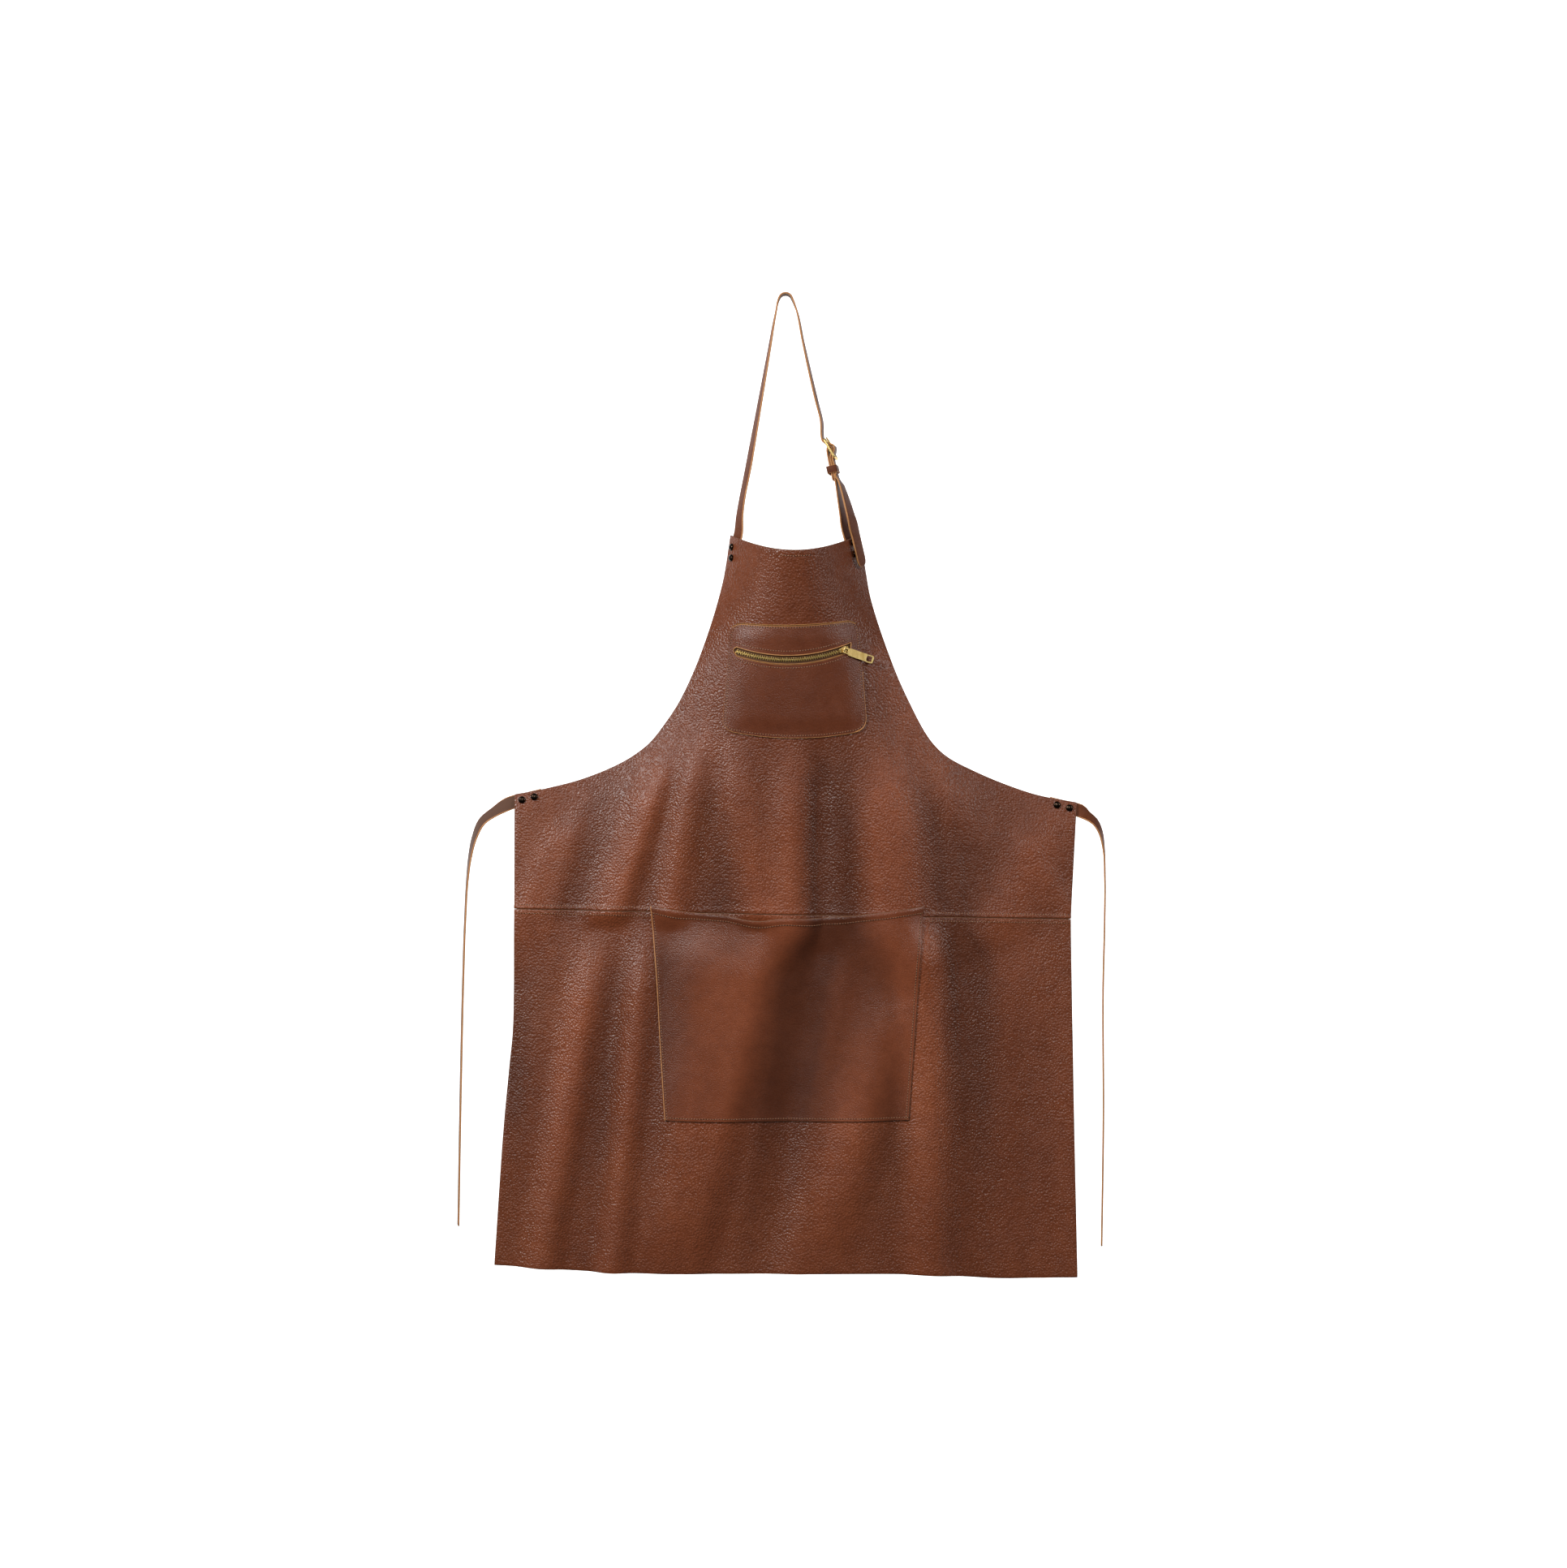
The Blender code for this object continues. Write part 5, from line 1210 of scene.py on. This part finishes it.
def build_slider():
    share = 1.0 - 0.9 * SLIDER_LENGTH / ZIP_LENGTH
    place = zip_place(share)
    before, after = (raised_point(zip_place(share + step), 0.0) for step in (-0.02, 0.02))
    up = normal_at(place)
    along = (after - before).normalized()
    across = up.cross(along).normalized()
    foot = raised_point(place, 0.0)
    low = ZIP_STAND + ZIP_TAPE_THICK + GAP + ZIP_CHAIN_THICK + GAP
    high = low + SLIDER_THICK
    half = SLIDER_LENGTH / 2.0
    wide = ZIP_CHAIN_WIDTH / 2.0 + GAP + 0.0006
    outline = [
        (-half, -wide * 0.66), (-half * 0.35, -wide * 0.9), (half * 0.45, -wide * 1.12),
        (half, -wide * 0.95), (half * 1.04, 0.0), (half, wide * 0.95),
        (half * 0.45, wide * 1.12), (-half * 0.35, wide * 0.9), (-half, wide * 0.66),
    ]
    points, faces = [], []
    for height, shrink in ((low, 1.0), (low + SLIDER_THICK * 0.65, 1.0), (high, 0.82)):
        points += [
            foot + along * (a * shrink) + across * (b * shrink) + up * height for a, b in outline
        ]
    count = len(outline)
    for ring in range(2):
        for index in range(count):
            after_index = (index + 1) % count
            start, end = ring * count, (ring + 1) * count
            faces.append((start + index, start + after_index, end + after_index, end + index))
    faces.append(tuple(reversed(range(count))))
    faces.append(tuple(range(2 * count, 3 * count)))
    body = add_mesh("zip_slider_body", [tuple(p) for p in points], faces, [BRASS])
    fix_normals(body)
    body.data.shade_flat()
    bevelled(body, 0.00025, 2)
    apron_piece(body, "zip_slider", slot="brass")

    sag = Vector((math.cos(PULLER_DROOP), 0.0, -math.sin(PULLER_DROOP)))
    flat = (sag - up * sag.dot(up)).normalized()
    side = up.cross(flat).normalized()
    room = PULLER_THICK * 0.75 + GAP
    hinge = foot + up * (high + room)
    arch = []
    for step in range(13):
        angle = math.pi * step / 12
        arch.append(
            hinge - up * room * 0.9
            + flat * ((room + 0.0008) * math.cos(angle))
            + up * ((room * 1.9 + 0.0008) * math.sin(angle))
        )
    bridge = tube("zip_slider_bridge", arch, 0.00075, 10, BRASS, frame_axis=side)
    apron_piece(bridge, slot="brass")

    lie = (flat * math.cos(PULLER_LEAN) - up * math.sin(PULLER_LEAN)).normalized()
    rise = lie.cross(side).normalized()
    if rise.dot(up) < 0.0:
        rise = -rise
    half_wide = PULLER_WIDTH / 2.0
    start, end = -PULLER_THICK / 2.0, PULLER_LENGTH
    neck = 0.0044
    shoulder = 0.0060
    body_outline = puller_ring(shoulder, end, half_wide, 0.0022)
    hole_outline = puller_ring(end - 0.0094, end - 0.0022, 0.0031, 0.0016)
    main = plate(
        "zip_puller_plate", body_outline, hole_outline, PULLER_THICK, (lie, side, rise),
        hinge, BRASS,
    )
    eye_out = puller_ring(start, shoulder + 0.0012, neck * 0.78, 0.0016)
    eye_in = puller_ring(start + 0.0013, shoulder - 0.0008, neck * 0.42, 0.0008)
    eye = plate(
        "zip_puller_eye", eye_out, eye_in, PULLER_THICK * 0.92, (lie, side, rise), hinge, BRASS
    )
    apron_piece(main, "zip_puller", slot="brass", body="zip_puller")
    apron_piece(eye, slot="brass", body="zip_puller")


def puller_ring(start, end, half_wide, radius):
    """Rounded rectangle in (along, across), with the same number of points each time."""
    ring = []
    for centre_a, centre_b, turn in (
        (end - radius, half_wide - radius, 0.0),
        (start + radius, half_wide - radius, 90.0),
        (start + radius, -half_wide + radius, 180.0),
        (end - radius, -half_wide + radius, 270.0),
    ):
        for step in range(5):
            angle = math.radians(turn + 90.0 * step / 4)
            ring.append(
                (centre_a + radius * math.cos(angle), centre_b + radius * math.sin(angle))
            )
    return ring


# Front pocket
def front_corners():
    top = -NECK_DROP - BIB_HEIGHT + FRONT_RISE
    bottom = top - FRONT_HEIGHT
    middle = WAIST_SHIFT - FRONT_SHIFT
    half_top = FRONT_WIDTH / 2.0
    half_bottom = half_top - FRONT_TAPER / 2.0
    return (
        (middle - half_top, top),
        (middle - half_bottom, bottom),
        (middle + half_bottom, bottom),
        (middle + half_top, top),
    )


def front_place(across, down):
    (left_top, left_bottom, right_bottom, right_top) = (np.array(c) for c in front_corners())
    left = left_top + (left_bottom - left_top) * down
    right = right_top + (right_bottom - right_top) * down
    place = left + (right - left) * across
    away = 2.0 * across - 1.0
    bow = FRONT_BOW * (1.0 - down) + 0.15 * FRONT_BOW * down
    place[1] -= bow * (1.0 - away * away)
    return place


def front_gape(places):
    corners = front_corners()
    down = np.clip((corners[0][1] - places[..., 1]) / FRONT_HEIGHT, 0.0, 1.0)
    half = (FRONT_WIDTH - FRONT_TAPER * down) / 2.0
    middle = (corners[0][0] + corners[3][0]) / 2.0
    away = np.minimum(np.abs(places[..., 0] - middle) / half, 1.0)
    return FRONT_GAPE * (1.0 - away ** 2.2) * (1.0 - down) ** 1.4


def front_height(places):
    return GAP + POCKET_THICK + front_gape(places)


def build_front_pocket():
    columns = [0.0, 0.0030] + shares(84)[1:-1] + [0.997, 1.0]
    rows = [0.0, 0.008, 0.016] + shares(66)[2:-1] + [0.994, 1.0]
    grid = np.array([[front_place(across, down) for down in rows] for across in columns])
    gape = front_gape(grid)
    downs = np.array(rows)[None, :] * FRONT_HEIGHT
    hem = 0.0011 * np.exp(-((downs - 0.0030) / 0.0034) ** 2) - 0.0004 * np.exp(
        -((downs - 0.0074) / 0.0012) ** 2
    )
    pocket = wall(
        "front_pocket_leather", grid, GAP + gape, GAP + POCKET_THICK + gape + hem,
        [POCKET_HIDE, DARK_EDGE, CUT_EDGE], edge_reach=0.7,
    )
    # Tan cut-edge strip on the left edge only: the edge's own tan colour, plus painted light, since only
    # the side facing the key lamp gets it
    for row in range(len(rows) - 1):
        pocket.data.polygons[2 * row].material_index = 2
    # Mask for the painted shade in the fold hollows and the painted light on the crests
    paint_fold_shade(pocket)
    apron_piece(pocket, "front_pocket", slot="pocket_leather")
    inset = 0.0032
    wide = inset / FRONT_WIDTH
    lines = []
    for across in (wide, 1.0 - wide):
        row = np.array([front_place(across, share) for share in shares(90)])
        lines.append(surface_line(row, front_height(row)))
    for across, away in ((0.5 * wide, 0.028), (1.0 - 0.5 * wide, -0.028)):
        tack = np.array([front_place(across + away * share, 0.0078 * (1.0 + share)) for share in shares(8)])
        lines.append(surface_line(tack, front_height(tack) + 0.0006))
    hem_stitch_drop = 0.0072
    for down in (hem_stitch_drop / FRONT_HEIGHT, 1.0 - inset / FRONT_HEIGHT):
        row = np.array([front_place(share, down) for share in shares(110)])
        lines.append(surface_line(row, front_height(row)))
    apron_piece(stitches("front_pocket_stitching", lines, THREAD), slot="pocket_leather")


def build_seam_stitching():
    corners = front_corners()
    left_end = (corners[0][0] - WAIST_SHIFT) / WAIST_WIDTH + 0.5
    right_start = (corners[3][0] - WAIST_SHIFT) / WAIST_WIDTH + 0.5
    lines = []
    for start, end in ((0.004, left_end - 0.004), (right_start + 0.004, 0.996)):
        for offset in (0.0048, -0.0048):
            row = np.array([
                np.array(seam_place(start + (end - start) * share)) + (0.0, offset)
                for share in shares(70)
            ])
            lines.append(surface_line(row, seam_roll(row, 0.0022)))
    middle = np.array([
        np.array(bib_top_place(0.5 - 0.12 + 0.24 * share)) - (0.0, 0.0062) for share in shares(20)
    ])
    lines.append(surface_line(middle, 0.0))
    apron_piece(stitches("seam_stitching", lines, THREAD), slot="leather")


# Straps
def turned_width(degrees):
    angle = math.radians(degrees)
    return Vector((math.sin(angle), math.cos(angle), 0.0))


def behind_panel(place):
    return raised_point(place, -PANEL_THICK - STRAP_SEAT - STRAP_THICK / 2.0)


def lying_row(place, ahead):
    here, there = behind_panel(place), behind_panel(ahead)
    return here, normal_at(place).cross(there - here).normalized()


def bib_rivet_place(side, inside, down):
    corner_x, corner_z = bib_corner(side)
    return corner_x - side * inside * BIB_WIDTH, corner_z - down * BIB_RIVET_SPACING


def bib_anchor_rows(side, end_reach):
    upper, lower = (bib_rivet_place(*row[1:]) for row in BIB_RIVETS if row[1] == side)
    step_x, step_z = upper[0] - lower[0], upper[1] - lower[1]
    end = (lower[0] - step_x * end_reach, lower[1] - step_z * end_reach)
    rise = (bib_corner(side)[1] - upper[1]) * 1.05
    lean = -side * 0.30
    top = (upper[0] + lean * rise, upper[1] + rise)
    beyond = (top[0] + lean * rise, top[1] + rise)
    rows = []
    for place, ahead in zip([end, lower, upper, top], [lower, upper, top, beyond]):
        centre, across = lying_row(place, ahead)
        rows.append((centre, across if across.y > 0.0 else -across))
    return rows


def hang_arc():
    radius = HANG_RADIUS + STRAP_THICK / 2.0
    rows = []
    for degrees in (165.0, 140.0, 115.0, 90.0, 65.0, 40.0, 15.0):
        angle = math.radians(degrees)
        centre = Vector((radius * math.cos(angle), 0.0, radius * math.sin(angle) - HANG_RADIUS))
        rows.append((centre, turned_width(0.0)))
    return rows


def buckle_axes():
    right = bib_anchor_rows(1, RIGHT_STRAP_END)[-1][0]
    centre = Vector(
        (BUCKLE_ACROSS * BIB_WIDTH, right.y * BUCKLE_DOWN ** 2, -BUCKLE_DOWN * NECK_DROP)
    )
    level = Vector((math.cos(BUCKLE_TURN), -math.sin(BUCKLE_TURN), 0.0))
    down = Vector((0.0, 0.0, -1.0))
    along = level * math.sin(BUCKLE_TILT) + down * math.cos(BUCKLE_TILT)
    out = level * math.cos(BUCKLE_TILT) - down * math.sin(BUCKLE_TILT)
    bar = Vector((math.sin(BUCKLE_TURN), math.cos(BUCKLE_TURN), 0.0))
    return centre, along, out, bar


def around(bar_at, radius, degrees):
    centre, along, out, _ = buckle_axes()
    angle = math.radians(degrees)
    return (
        centre + along * (bar_at + radius * math.cos(angle)) + out * (radius * math.sin(angle))
    )


def stack_axes():
    level = Vector((math.cos(BUCKLE_TURN), -math.sin(BUCKLE_TURN), 0.0))
    down = Vector((0.0, 0.0, -1.0))
    along = level * math.sin(STACK_TILT) + down * math.cos(STACK_TILT)
    out = level * math.cos(STACK_TILT) - down * math.sin(STACK_TILT)
    return along, out


def layer_pitch():
    return STRAP_THICK + 1.5 * GAP


def wrap_radius(layers):
    return BAR_RADIUS + 1.4 * GAP + STRAP_THICK / 2.0 + (layers - 1) * layer_pitch()


def strap_point(across, down, depth):
    return Vector((across * BIB_WIDTH, depth, -down * NECK_DROP))


STRAP_LOOKS = [STRAP_HIDE, CUT_EDGE, FLESH]


def build_neck_strap():
    bar = buckle_axes()[3]
    stack_along, _ = stack_axes()
    bend = math.degrees(BUCKLE_TILT - STACK_TILT)
    rows = bib_anchor_rows(-1, LEFT_STRAP_END)
    corner_depth = rows[-1][0].y
    for across, down, turn in LEFT_RUN:
        rows.append((strap_point(across, down, corner_depth * down), turned_width(turn)))
    rows += hang_arc()
    run_depth = buckle_axes()[0].y
    for across, down, turn in RIGHT_RUN:
        depth = run_depth * (down / BUCKLE_DOWN) ** 2
        rows.append((strap_point(across, down, depth), turned_width(turn)))
    near = wrap_radius(1)
    rows += [(around(-BAR_SPACING, near, degrees), bar) for degrees in (-115.0, -88.0, -58.0)]
    rows.append((around(0.0, STRAP_BULGE, 90.0), bar))
    rows += [(around(BAR_SPACING, near, degrees), bar) for degrees in (-132.0, -90.0 - bend)]
    start = around(BAR_SPACING, near, -90.0 - bend)
    rows += [(start + stack_along * reach, bar) for reach in (0.009, 0.022)]
    above = rows[-1][0].y
    for across, down, turn, ease in TAIL_RUN:
        width = turned_width(turn)
        point = strap_point(across, down, 0.0)
        lead = point.x - width.x * STRAP_WIDTH / 2.0
        proud = float(face_depth(lead, point.z)) + width.y * STRAP_WIDTH / 2.0 - TAIL_STAND
        point.y = above + (proud - above) * ease
        rows.append((point, width))
    strap = ribbon(
        "neck_strap_leather", rows, STRAP_WIDTH, STRAP_THICK, STRAP_LOOKS, 0.0035, tip=0.010
    )
    apron_piece(strap, "neck_strap", slot="strap_leather")


def build_buckle_strap():
    bar = buckle_axes()[3]
    stack_along, _ = stack_axes()
    bend = math.degrees(BUCKLE_TILT - STACK_TILT)
    inner = around(BAR_SPACING, wrap_radius(3), -90.0 - bend)
    outer = around(BAR_SPACING, wrap_radius(2), -90.0 - bend)
    rows = [(inner + stack_along * reach, bar) for reach in (0.025, 0.012, 0.003)]
    rows.append((around(BAR_SPACING, wrap_radius(3), -122.0), bar))
    turns = (-112.0, -145.0, 180.0, 140.0, 95.0, 53.0)
    rows += [(around(0.0, wrap_radius(1), degrees), bar) for degrees in turns]
    rows.append((around(BAR_SPACING, wrap_radius(2), -132.0), bar))
    rows += [(outer + stack_along * reach, bar) for reach in (0.001, 0.012, 0.025)]
    lower = rows[-1][0]
    anchor = list(reversed(bib_anchor_rows(1, RIGHT_STRAP_END)))
    for share in (0.35, 0.70):
        rows.append((lower.lerp(anchor[0][0], share), bar.lerp(anchor[0][1], share).normalized()))
    rows += anchor
    strap = ribbon(
        "buckle_strap_leather", rows, STRAP_WIDTH, STRAP_THICK, STRAP_LOOKS, 0.0025
    )
    apron_piece(strap, "buckle_strap", slot="strap_leather")


def build_buckle():
    centre, along, out, bar = buckle_axes()
    half_width = STRAP_WIDTH / 2.0 + 3.0 * GAP + BAR_RADIUS
    ring = []
    for quarter in range(4):
        sign_along = 1.0 if quarter in (0, 1) else -1.0
        sign_bar = 1.0 if quarter in (0, 3) else -1.0
        middle = (
            centre
            + along * (sign_along * (BAR_SPACING - BUCKLE_CORNER))
            + bar * (sign_bar * (half_width - BUCKLE_CORNER))
        )
        for step in range(7):
            angle = math.radians(90.0 - 90.0 * quarter - 15.0 * step)
            ring.append(middle + (along * math.cos(angle) + bar * math.sin(angle)) * BUCKLE_CORNER)
    ring_piece = tube("buckle_ring", ring, BAR_RADIUS * 1.15, 16, BRASS, closed=True, frame_axis=out)
    apron_piece(ring_piece, "buckle_frame", slot="brass")
    bar_line = [centre + bar * reach for reach in np.linspace(-half_width, half_width, 9)]
    middle_bar = tube("buckle_centre_bar", bar_line, BAR_RADIUS * 0.97, 16, BRASS, frame_axis=out)
    apron_piece(middle_bar, slot="brass")
    reach = BAR_SPACING + 0.0024
    height = BAR_RADIUS + GAP + 0.0008
    line = [
        centre + along * (-reach * share) + out * (height + 0.0006 * math.sin(math.pi * share))
        for share in np.linspace(0.0, 1.0, 14)
    ]
    loop = [
        centre + along * (height * math.sin(math.radians(a))) + out * (height * math.cos(math.radians(a)))
        for a in range(300, 0, -20)
    ]
    tongue = tube("buckle_tongue", loop + line, 0.0009, 12, BRASS, frame_axis=bar)
    apron_piece(tongue, "buckle_prong", slot="brass")


def build_keeper():
    bar = buckle_axes()[3]
    along, out = stack_axes()
    bend = math.degrees(BUCKLE_TILT - STACK_TILT)
    nearest = around(BAR_SPACING, wrap_radius(1), -90.0 - bend) + along * 0.0085
    thick, length = 0.0012, 0.0085
    high = STRAP_THICK / 2.0 + 2.0 * GAP + thick / 2.0
    low = -2.0 * layer_pitch() - STRAP_THICK / 2.0 - GAP - 0.0022 - thick / 2.0
    half = STRAP_WIDTH / 2.0 + 2.0 * GAP + thick / 2.0
    radius = 0.0016
    centres = []
    for side, edge, turn in ((1, high, 0.0), (-1, high, 90.0), (-1, low, 180.0), (1, low, 270.0)):
        corner = nearest + bar * (side * (half - radius)) + out * (
            edge - radius if edge == high else edge + radius
        )
        for step in range(5):
            angle = math.radians(turn + 90.0 * step / 4)
            centres.append(corner + bar * (radius * math.cos(angle)) + out * (radius * math.sin(angle)))
    points, faces = [], []
    count = len(centres)
    for index, centre in enumerate(centres):
        tangent = (centres[(index + 1) % count] - centres[index - 1]).normalized()
        outward = tangent.cross(along).normalized()
        for reach, lift in (
            (0.0, -0.35), (0.0, 0.35), (0.04, 0.5), (0.96, 0.5), (1.0, 0.35), (1.0, -0.35),
            (0.96, -0.5), (0.04, -0.5),
        ):
            points.append(centre + along * (length * reach) + outward * (thick * lift))
    for index in range(count):
        start, end = index * 8, ((index + 1) % count) * 8
        for side in range(8):
            after = (side + 1) % 8
            faces.append((start + side, end + side, end + after, start + after))
    slots = [1 if side in (0, 1, 3, 4, 5, 7) else 0 for _ in range(count) for side in range(8)]
    keeper = add_mesh("keeper_leather", [tuple(p) for p in points], faces, [STRAP_HIDE, CUT_EDGE], slots)
    fix_normals(keeper)
    apron_piece(keeper, "keeper_loop", slot="strap_leather")


def waist_rivet_places(side):
    corner_x, corner_z = tie_corner(side)
    outer = (corner_x - side * WAIST_RIVET_INSET, corner_z - WAIST_RIVET_DROP)
    inner = (outer[0] - side * WAIST_RIVET_SPACING, outer[1] + 0.24 * WAIST_RIVET_SPACING)
    return outer, inner


def build_ties():
    for word, side, run, reach, drop in TIES:
        outer, inner = waist_rivet_places(side)
        step = Vector(outer) - Vector(inner)
        end = Vector(inner) - step * 0.65
        edge = Vector(outer) + step * 0.86
        places = [tuple(end), inner, outer, tuple(edge)]
        rows = []
        for place, ahead in zip(places, places[1:] + [tuple(edge + step)]):
            centre, across = lying_row(place, ahead)
            rows.append((centre, across if across.z > 0.0 else -across))
        start = rows[-1][0]
        points = [start + Vector((side * out * reach, 0.0, -down * drop)) for out, down, _ in run]
        for index, ((_, _, turn), point) in enumerate(zip(run, points)):
            before = points[index - 1] if index else start
            after = points[min(index + 1, len(points) - 1)]
            along = (after - before).normalized()
            upright = Vector((side * -along.z, 0.0, side * along.x)).normalized()
            angle = math.radians(turn)
            across = upright * math.cos(angle) + Vector((0.0, 1.0, 0.0)) * math.sin(angle)
            rows.append((point, across))
        tie = ribbon(
            f"tie_{word}_leather", rows, TIE_WIDTH, STRAP_THICK, STRAP_LOOKS, 0.005
        )
        apron_piece(tie, "tie_" + word, slot="strap_leather")


# Rivets
def build_rivet(node, place):
    up = normal_at(place)
    foot = raised_point(place, 0.0)
    first = up.orthogonal().normalized()
    second = up.cross(first)
    back = PANEL_THICK + STRAP_SEAT + STRAP_THICK + 2.0 * GAP
    radius = RIVET_RADIUS
    profile = [(radius * math.sin(math.radians(a)), 0.0004 + RIVET_DOME * math.cos(math.radians(a)) ** 0.8)
               for a in (6, 18, 32, 46, 60, 72, 82)]
    profile += [
        (radius * 1.00, 0.0006), (radius * 1.00, 0.0003), (radius * 0.94, 0.0001),
        (0.0014, 0.0001), (0.0014, -back), (0.0034, -back), (0.0036, -back - 0.0004),
        (0.0030, -back - 0.0008), (0.0008, -back - 0.0009),
    ]
    sides = 28
    points, faces = [], []
    for ring_radius, height in profile:
        for side in range(sides):
            angle = 2.0 * math.pi * side / sides
            points.append(
                foot + up * height + first * (ring_radius * math.cos(angle))
                + second * (ring_radius * math.sin(angle))
            )
    for ring in range(len(profile) - 1):
        for side in range(sides):
            after = (side + 1) % sides
            start, end = ring * sides, (ring + 1) * sides
            faces.append((start + side, start + after, end + after, end + side))
    faces.append(tuple(range(sides)))
    faces.append(tuple(range((len(profile) - 1) * sides, len(profile) * sides)))
    cap = add_mesh(node + "_cap", [tuple(p) for p in points], faces, [DARK_METAL])
    fix_normals(cap)
    apron_piece(cap, node, slot="dark_metal")


def build_rivets():
    for name, side, inside, down in BIB_RIVETS:
        build_rivet(name, bib_rivet_place(side, inside, down))
    for word, side in (("left", -1), ("right", 1)):
        for spot, place in zip(("outer", "inner"), waist_rivet_places(side)):
            build_rivet(f"rivet_waist_{word}_{spot}", place)


# Studio
def area_light(name, place, target, size, power, colour=(1.0, 1.0, 1.0)):
    data = bpy.data.lights.new(name, "AREA")
    data.shape = "RECTANGLE"
    data.size, data.size_y = size
    data.energy = power
    data.color = colour
    made = bpy.data.objects.new(name, data)
    made.location = place
    made.rotation_euler = (Vector(target) - Vector(place)).to_track_quat("-Z", "Y").to_euler()
    bpy.context.scene.collection.objects.link(made)


def build_studio():
    made, tree, shader = nodes_for("studio_white")
    shader.inputs["Base Color"].default_value = (0.92, 0.92, 0.92, 1.0)
    shader.inputs["Roughness"].default_value = 0.9
    shader.inputs["Emission Color"].default_value = (1.0, 1.0, 1.0, 1.0)
    shader.inputs["Emission Strength"].default_value = 1.0
    floor_z, back_y, bend = -1.75, 5.0, 1.4
    line = [(0.1, floor_z), (back_y - bend, floor_z)]
    for step in range(1, 13):
        angle = math.pi / 2.0 * step / 12
        line.append((back_y - bend + bend * math.sin(angle), floor_z + bend - bend * math.cos(angle)))
    line.append((back_y, 5.0))
    points = [(x, y, z) for y, z in line for x in (-6.0, 6.0)]
    faces = [(2 * i, 2 * i + 1, 2 * i + 3, 2 * i + 2) for i in range(len(line) - 1)]
    sweep = add_mesh("studio_sweep", points, faces, [made])

    world = bpy.data.worlds.new("studio_world")
    bpy.context.scene.world = world
    world.use_nodes = True
    world.node_tree.nodes["Background"].inputs["Color"].default_value = (1.0, 1.0, 1.0, 1.0)
    world.node_tree.nodes["Background"].inputs["Strength"].default_value = 0.045

    area_light("key", (-2.20, -1.85, 0.75), (0.0, 0.0, -0.45), (0.6, 1.2), 76.0)
    area_light("front", (-0.15, -3.3, 0.60), (0.0, 0.0, -0.45), (0.22, 0.9), 32.0)
    area_light("side", (2.5, -1.6, 0.45), (0.0, 0.0, -0.35), (0.5, 1.2), 30.0)


def build_camera():
    bpy.context.scene.view_settings.view_transform = "Standard"
    data = bpy.data.cameras.new("camera")
    data.sensor_width = 36.0
    data.lens = 65.8
    made = bpy.data.objects.new("camera", data)
    made.location = (-0.0024, -3.35, -0.5719)
    made.rotation_euler = (math.radians(90.0), 0.0, 0.0)
    bpy.context.scene.collection.objects.link(made)
    bpy.context.scene.camera = made


def main():
    build_camera()
    build_panels()
    build_seam_allowance()
    build_chest_pocket()
    build_zip()
    build_slider()
    build_front_pocket()
    build_seam_stitching()
    build_neck_strap()
    build_buckle_strap()
    build_buckle()
    build_keeper()
    build_ties()
    build_rivets()
    build_studio()
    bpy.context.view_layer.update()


main()
